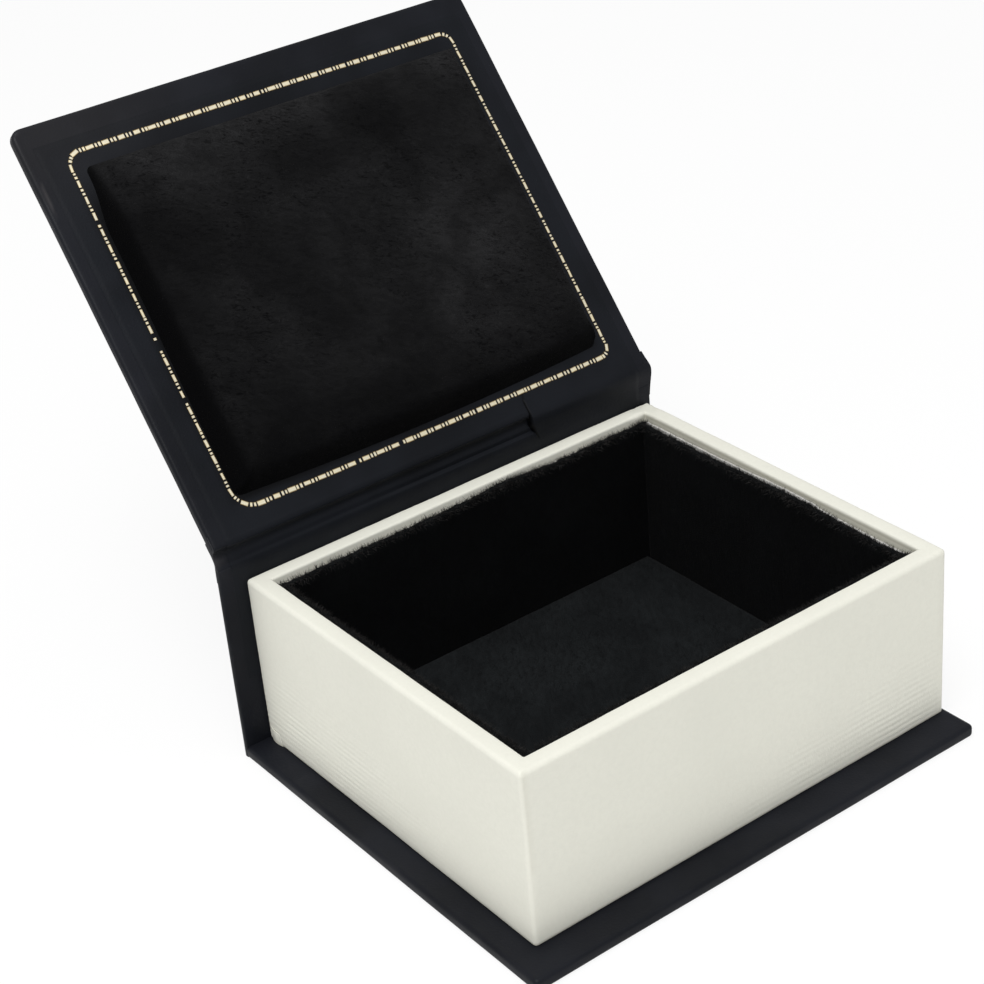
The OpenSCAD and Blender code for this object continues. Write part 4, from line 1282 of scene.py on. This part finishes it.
class BOX_OT_lid_pad(bpy.types.Operator):
    """Makes the crowned velvet pad inside the lid"""

    bl_idname = "ringbox.lid_pad"
    bl_label = "Lid pad"

    def execute(self, context):
        s, v = context.scene.lid_pad, context.scene.velvet
        low, high = shut_box("lid_pad_velvet")
        size, crown = (high.x - low.x, high.y - low.y), high.z - low.z - s.shoulder
        slopes = (s.slope, s.slope, s.lean, s.slope)
        pad = crowned("lid_pad_cap", size, s.shoulder, crown, slopes, 1.1 * MM, s.corner, 1.1 * MM)
        puffed(pad, s.pressure, 0.4 * MM)

        def soft(p):
            return (0.16 * ripple(p, 11 * MM, 30) + 0.05 * ripple(p, 3 * MM, 31)) * smoothstep(0, 2 * MM, p.z) * MM

        swell(pad, soft)
        for point in pad.data.vertices:
            # the velvet is pulled tight into the front left corner, and the left side runs a little outwards
            x, y = (point.co.x + size[0] / 2) / MM, (size[1] / 2 - point.co.y) / MM
            near = 1 - smoothstep(1, 12, math.hypot(x, y))
            foot = (1 - smoothstep(0.0, 3, x)) * (1 - min(point.co.z / s.shoulder, 1.0))
            out = 1.1 * smoothstep(3, 14, y) + 0.6 * smoothstep(20, 60, y)
            crease = hump(x - 0.35 * abs(y), 1.2, 1.1)
            point.co.x += (0.3 * near - out * foot) * MM
            point.co.z *= 1 - (0.6 + 0.2 * crease) * near
        paint(pad, "nap", lambda p: self.brushed(p, size))
        closed_below(pad)
        centre = Vector(((low.x + high.x) / 2, (low.y + high.y) / 2, high.z))
        facing_in = Matrix.Translation(centre) @ Matrix.Rotation(math.pi, 4, "X")
        turned(pad, TO_OPEN @ facing_in)
        # the nap's strokes run across the lid, a little towards the hinge on the right
        cover = velvet("pad_velvet", v.dark, v.nap, (2.4, 1.0, 1.0), (0.0, 0.294, -0.251), 0.35, 0.62)
        made_of(pad, cover, "velvet", "lid_pad_velvet", "lid_pad_foam")
        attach(pad, "lid")
        grow_pile(pad, "lid_pad_pile", v, "lid")
        return {"FINISHED"}

    def brushed(self, p, size):
        """Where the nap is painted light and dark: painted highlight along the free edge, lighter and darker patches
        of nap right of the middle and along the free edge, and painted shade down the left side and along the side
        towards the hinge.
        """
        u, v = p.x / size[0] + 0.5, p.y / size[1] + 0.5
        # painted highlight along the free edge
        tone = 0.53 + 0.62 * smoothstep(0.78, 1.0, v)
        spots = ((0.45, 0.76, 0.38, 0.18, 0.28), (0.26, 0.26, 1.0, 0.2, 0.14), (-0.42, 0.72, 0.9, 0.18, 0.13))
        for light, at_u, at_v, wide_u, wide_v in spots:
            tone += light * hump(u, at_u, wide_u) * hump(v, at_v, wide_v)
        # painted shade down the left side
        tone *= 0.05 + 0.6 * smoothstep(0.006, 0.03, u) + 0.35 * smoothstep(0.03, 0.22, u)
        # painted shade on the side towards the hinge
        tone *= 0.3 + 0.4 * smoothstep(0.02, 0.07, v) + 0.3 * smoothstep(0.07, 0.25, v)
        return tone * (0.9 + 0.2 * ripple(p, 12 * MM, 33))


class BOX_OT_floor_pad(bpy.types.Operator):
    """Makes the thin velvet pad on the tray's floor"""

    bl_idname = "ringbox.floor_pad"
    bl_label = "Floor pad"

    def execute(self, context):
        s, v = context.scene.lid_pad, context.scene.velvet
        low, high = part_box("floor_velvet")
        size, crown = (high.x - low.x, high.y - low.y), 0.5 * MM
        shoulder = high.z - low.z - crown
        pad = crowned("floor_pad_cap", size, shoulder, crown, 4 * (2 * MM,), 0.0, 1 * MM, 1.2 * MM)
        puffed(pad, 0.5 * s.pressure, 0.25 * MM)

        def soft(p):
            return 0.09 * MM * (ripple(p, 9 * MM, 40) + 0.4 * ripple(p, 2.5 * MM, 41)) * smoothstep(0, MM, p.z)

        swell(pad, soft)
        closed_below(pad)
        turned(pad, Matrix.Translation(((low.x + high.x) / 2, (low.y + high.y) / 2, low.z)))
        paint(pad, "nap", lambda p: 0.8 + 0.15 * ripple(p, 15 * MM, 42))
        cool = darker(v.cool, 1.08)
        cover = velvet("floor_velvet", v.dark, cool, (2.4, 1.0, 1.0), (0.0, 0.0, 0.965), 0.2, 0.4)
        made_of(pad, cover, "velvet", "floor_velvet", "floor_pad_foam")
        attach(pad, "box")
        grow_pile(pad, "floor_pile", v, "box")
        return {"FINISHED"}


# Stage


class BOX_OT_stage(bpy.types.Operator):
    """Sets the floor, the light and the camera"""

    bl_idname = "ringbox.stage"
    bl_label = "Stage"

    def execute(self, context):
        scene = context.scene
        s = scene.stage
        square = [(-3, -3, 0), (3, -3, 0), (3, 3, 0), (-3, 3, 0)]
        floor = new_piece("floor", square, [(0, 1, 2, 3)], smooth=False)
        floor.location.z = -0.02 * MM
        dress(floor, self.floor_material(s))

        scene.world = bpy.data.worlds.new("surround")
        scene.world.use_nodes = True
        sky = scene.world.node_tree.nodes["Background"].inputs
        sky["Color"].default_value = (1.0, 1.0, 1.0, 1.0)
        sky["Strength"].default_value = s.sky

        aim = Vector((0, 0.02, 0.04))
        lamps = (("key_lamp", (-0.42, -0.36, 0.98), s.key), ("top_lamp", (-0.25, -0.05, 1.10), 0.38 * s.key))
        for name, spot, power in lamps:
            lamp = bpy.data.lights.new(name, "AREA")
            lamp.size = 0.6
            lamp.energy = power
            holder = linked(name, lamp)
            holder.location = spot
            holder.rotation_euler = (aim - Vector(spot)).to_track_quat("-Z", "Y").to_euler()

        camera = bpy.data.cameras.new("camera")
        camera.sensor_width = 36.0
        camera.lens = s.lens
        camera.clip_start = 0.01
        level = Vector((math.sin(s.azimuth), math.cos(s.azimuth), 0)) * math.cos(s.dip)
        ahead = level - Vector((0, 0, math.sin(s.dip)))
        right = ahead.cross(Vector((0, 0, 1))).normalized()
        tilt = Matrix.Rotation(s.roll, 3, ahead)
        right, up = tilt @ right, tilt @ right.cross(ahead)
        scene.camera = linked("camera", camera)
        facing = Matrix((right, up, -ahead)).transposed().to_4x4()
        scene.camera.matrix_world = Matrix.Translation(s.camera) @ facing

        scene.view_settings.view_transform = "Standard"
        return {"FINISHED"}

    def floor_material(self, s):
        """Pale floor that looks white to the camera and still shows a soft shadow."""
        white = 0.84  # how far the floor's own shading, with its shadow, gives way to white
        m = Surface("floor", 0.2)
        cloud = m.ramp(m.grain(0.25, 2.0), 0.3, 0.7)
        m.finish(Base_Color=m.blend(cloud, darker(s.floor, 0.985), s.floor), Roughness=0.9)
        rays = m.add("ShaderNodeLightPath").outputs
        seen = m.maths("MAXIMUM", rays["Is Camera Ray"], rays["Is Glossy Ray"])
        seen = m.maths("MAXIMUM", seen, rays["Is Transmission Ray"])
        glow = m.add("ShaderNodeEmission").outputs[0]
        mix = {0: m.maths("MULTIPLY", seen, white), 1: m.shader.outputs[0], 2: glow}
        m.put(m.output.inputs["Surface"], m.add("ShaderNodeMixShader", mix).outputs[0])
        return m.material


OPERATORS = (
    BOX_OT_case_cover,
    BOX_OT_joint,
    BOX_OT_foil_border,
    BOX_OT_tray_wrap,
    BOX_OT_lining,
    BOX_OT_floor_pad,
    BOX_OT_lid_pad,
    BOX_OT_stage,
)


class BOX_PT_panel(bpy.types.Panel):
    """Lists the pieces and their settings"""

    bl_idname = "BOX_PT_panel"
    bl_label = "Ring display box"
    bl_space_type = "VIEW_3D"
    bl_region_type = "UI"
    bl_category = "Ring Box"

    def draw(self, context):
        for operator in OPERATORS:
            self.layout.operator(operator.bl_idname)
        for label, group in SETTINGS.items():
            column = self.layout.box().column(align=True)
            column.label(text=label.replace("_", " ").capitalize())
            for name in group.__annotations__:
                column.prop(getattr(context.scene, label), name)


CLASSES = (*SETTINGS.values(), *OPERATORS, BOX_PT_panel)


def register():
    for cls in CLASSES:
        bpy.utils.register_class(cls)
    for label, group in SETTINGS.items():
        setattr(bpy.types.Scene, label, PointerProperty(type=group))


def unregister():
    for label in SETTINGS:
        delattr(bpy.types.Scene, label)
    for cls in reversed(CLASSES):
        bpy.utils.unregister_class(cls)


def main():
    register()
    bpy.ops.ringbox.case_cover()
    bpy.ops.ringbox.joint()
    bpy.ops.ringbox.foil_border()
    bpy.ops.ringbox.tray_wrap()
    bpy.ops.ringbox.lining()
    bpy.ops.ringbox.floor_pad()
    bpy.ops.ringbox.lid_pad()
    bpy.ops.ringbox.stage()


if __name__ == "__main__":
    main()
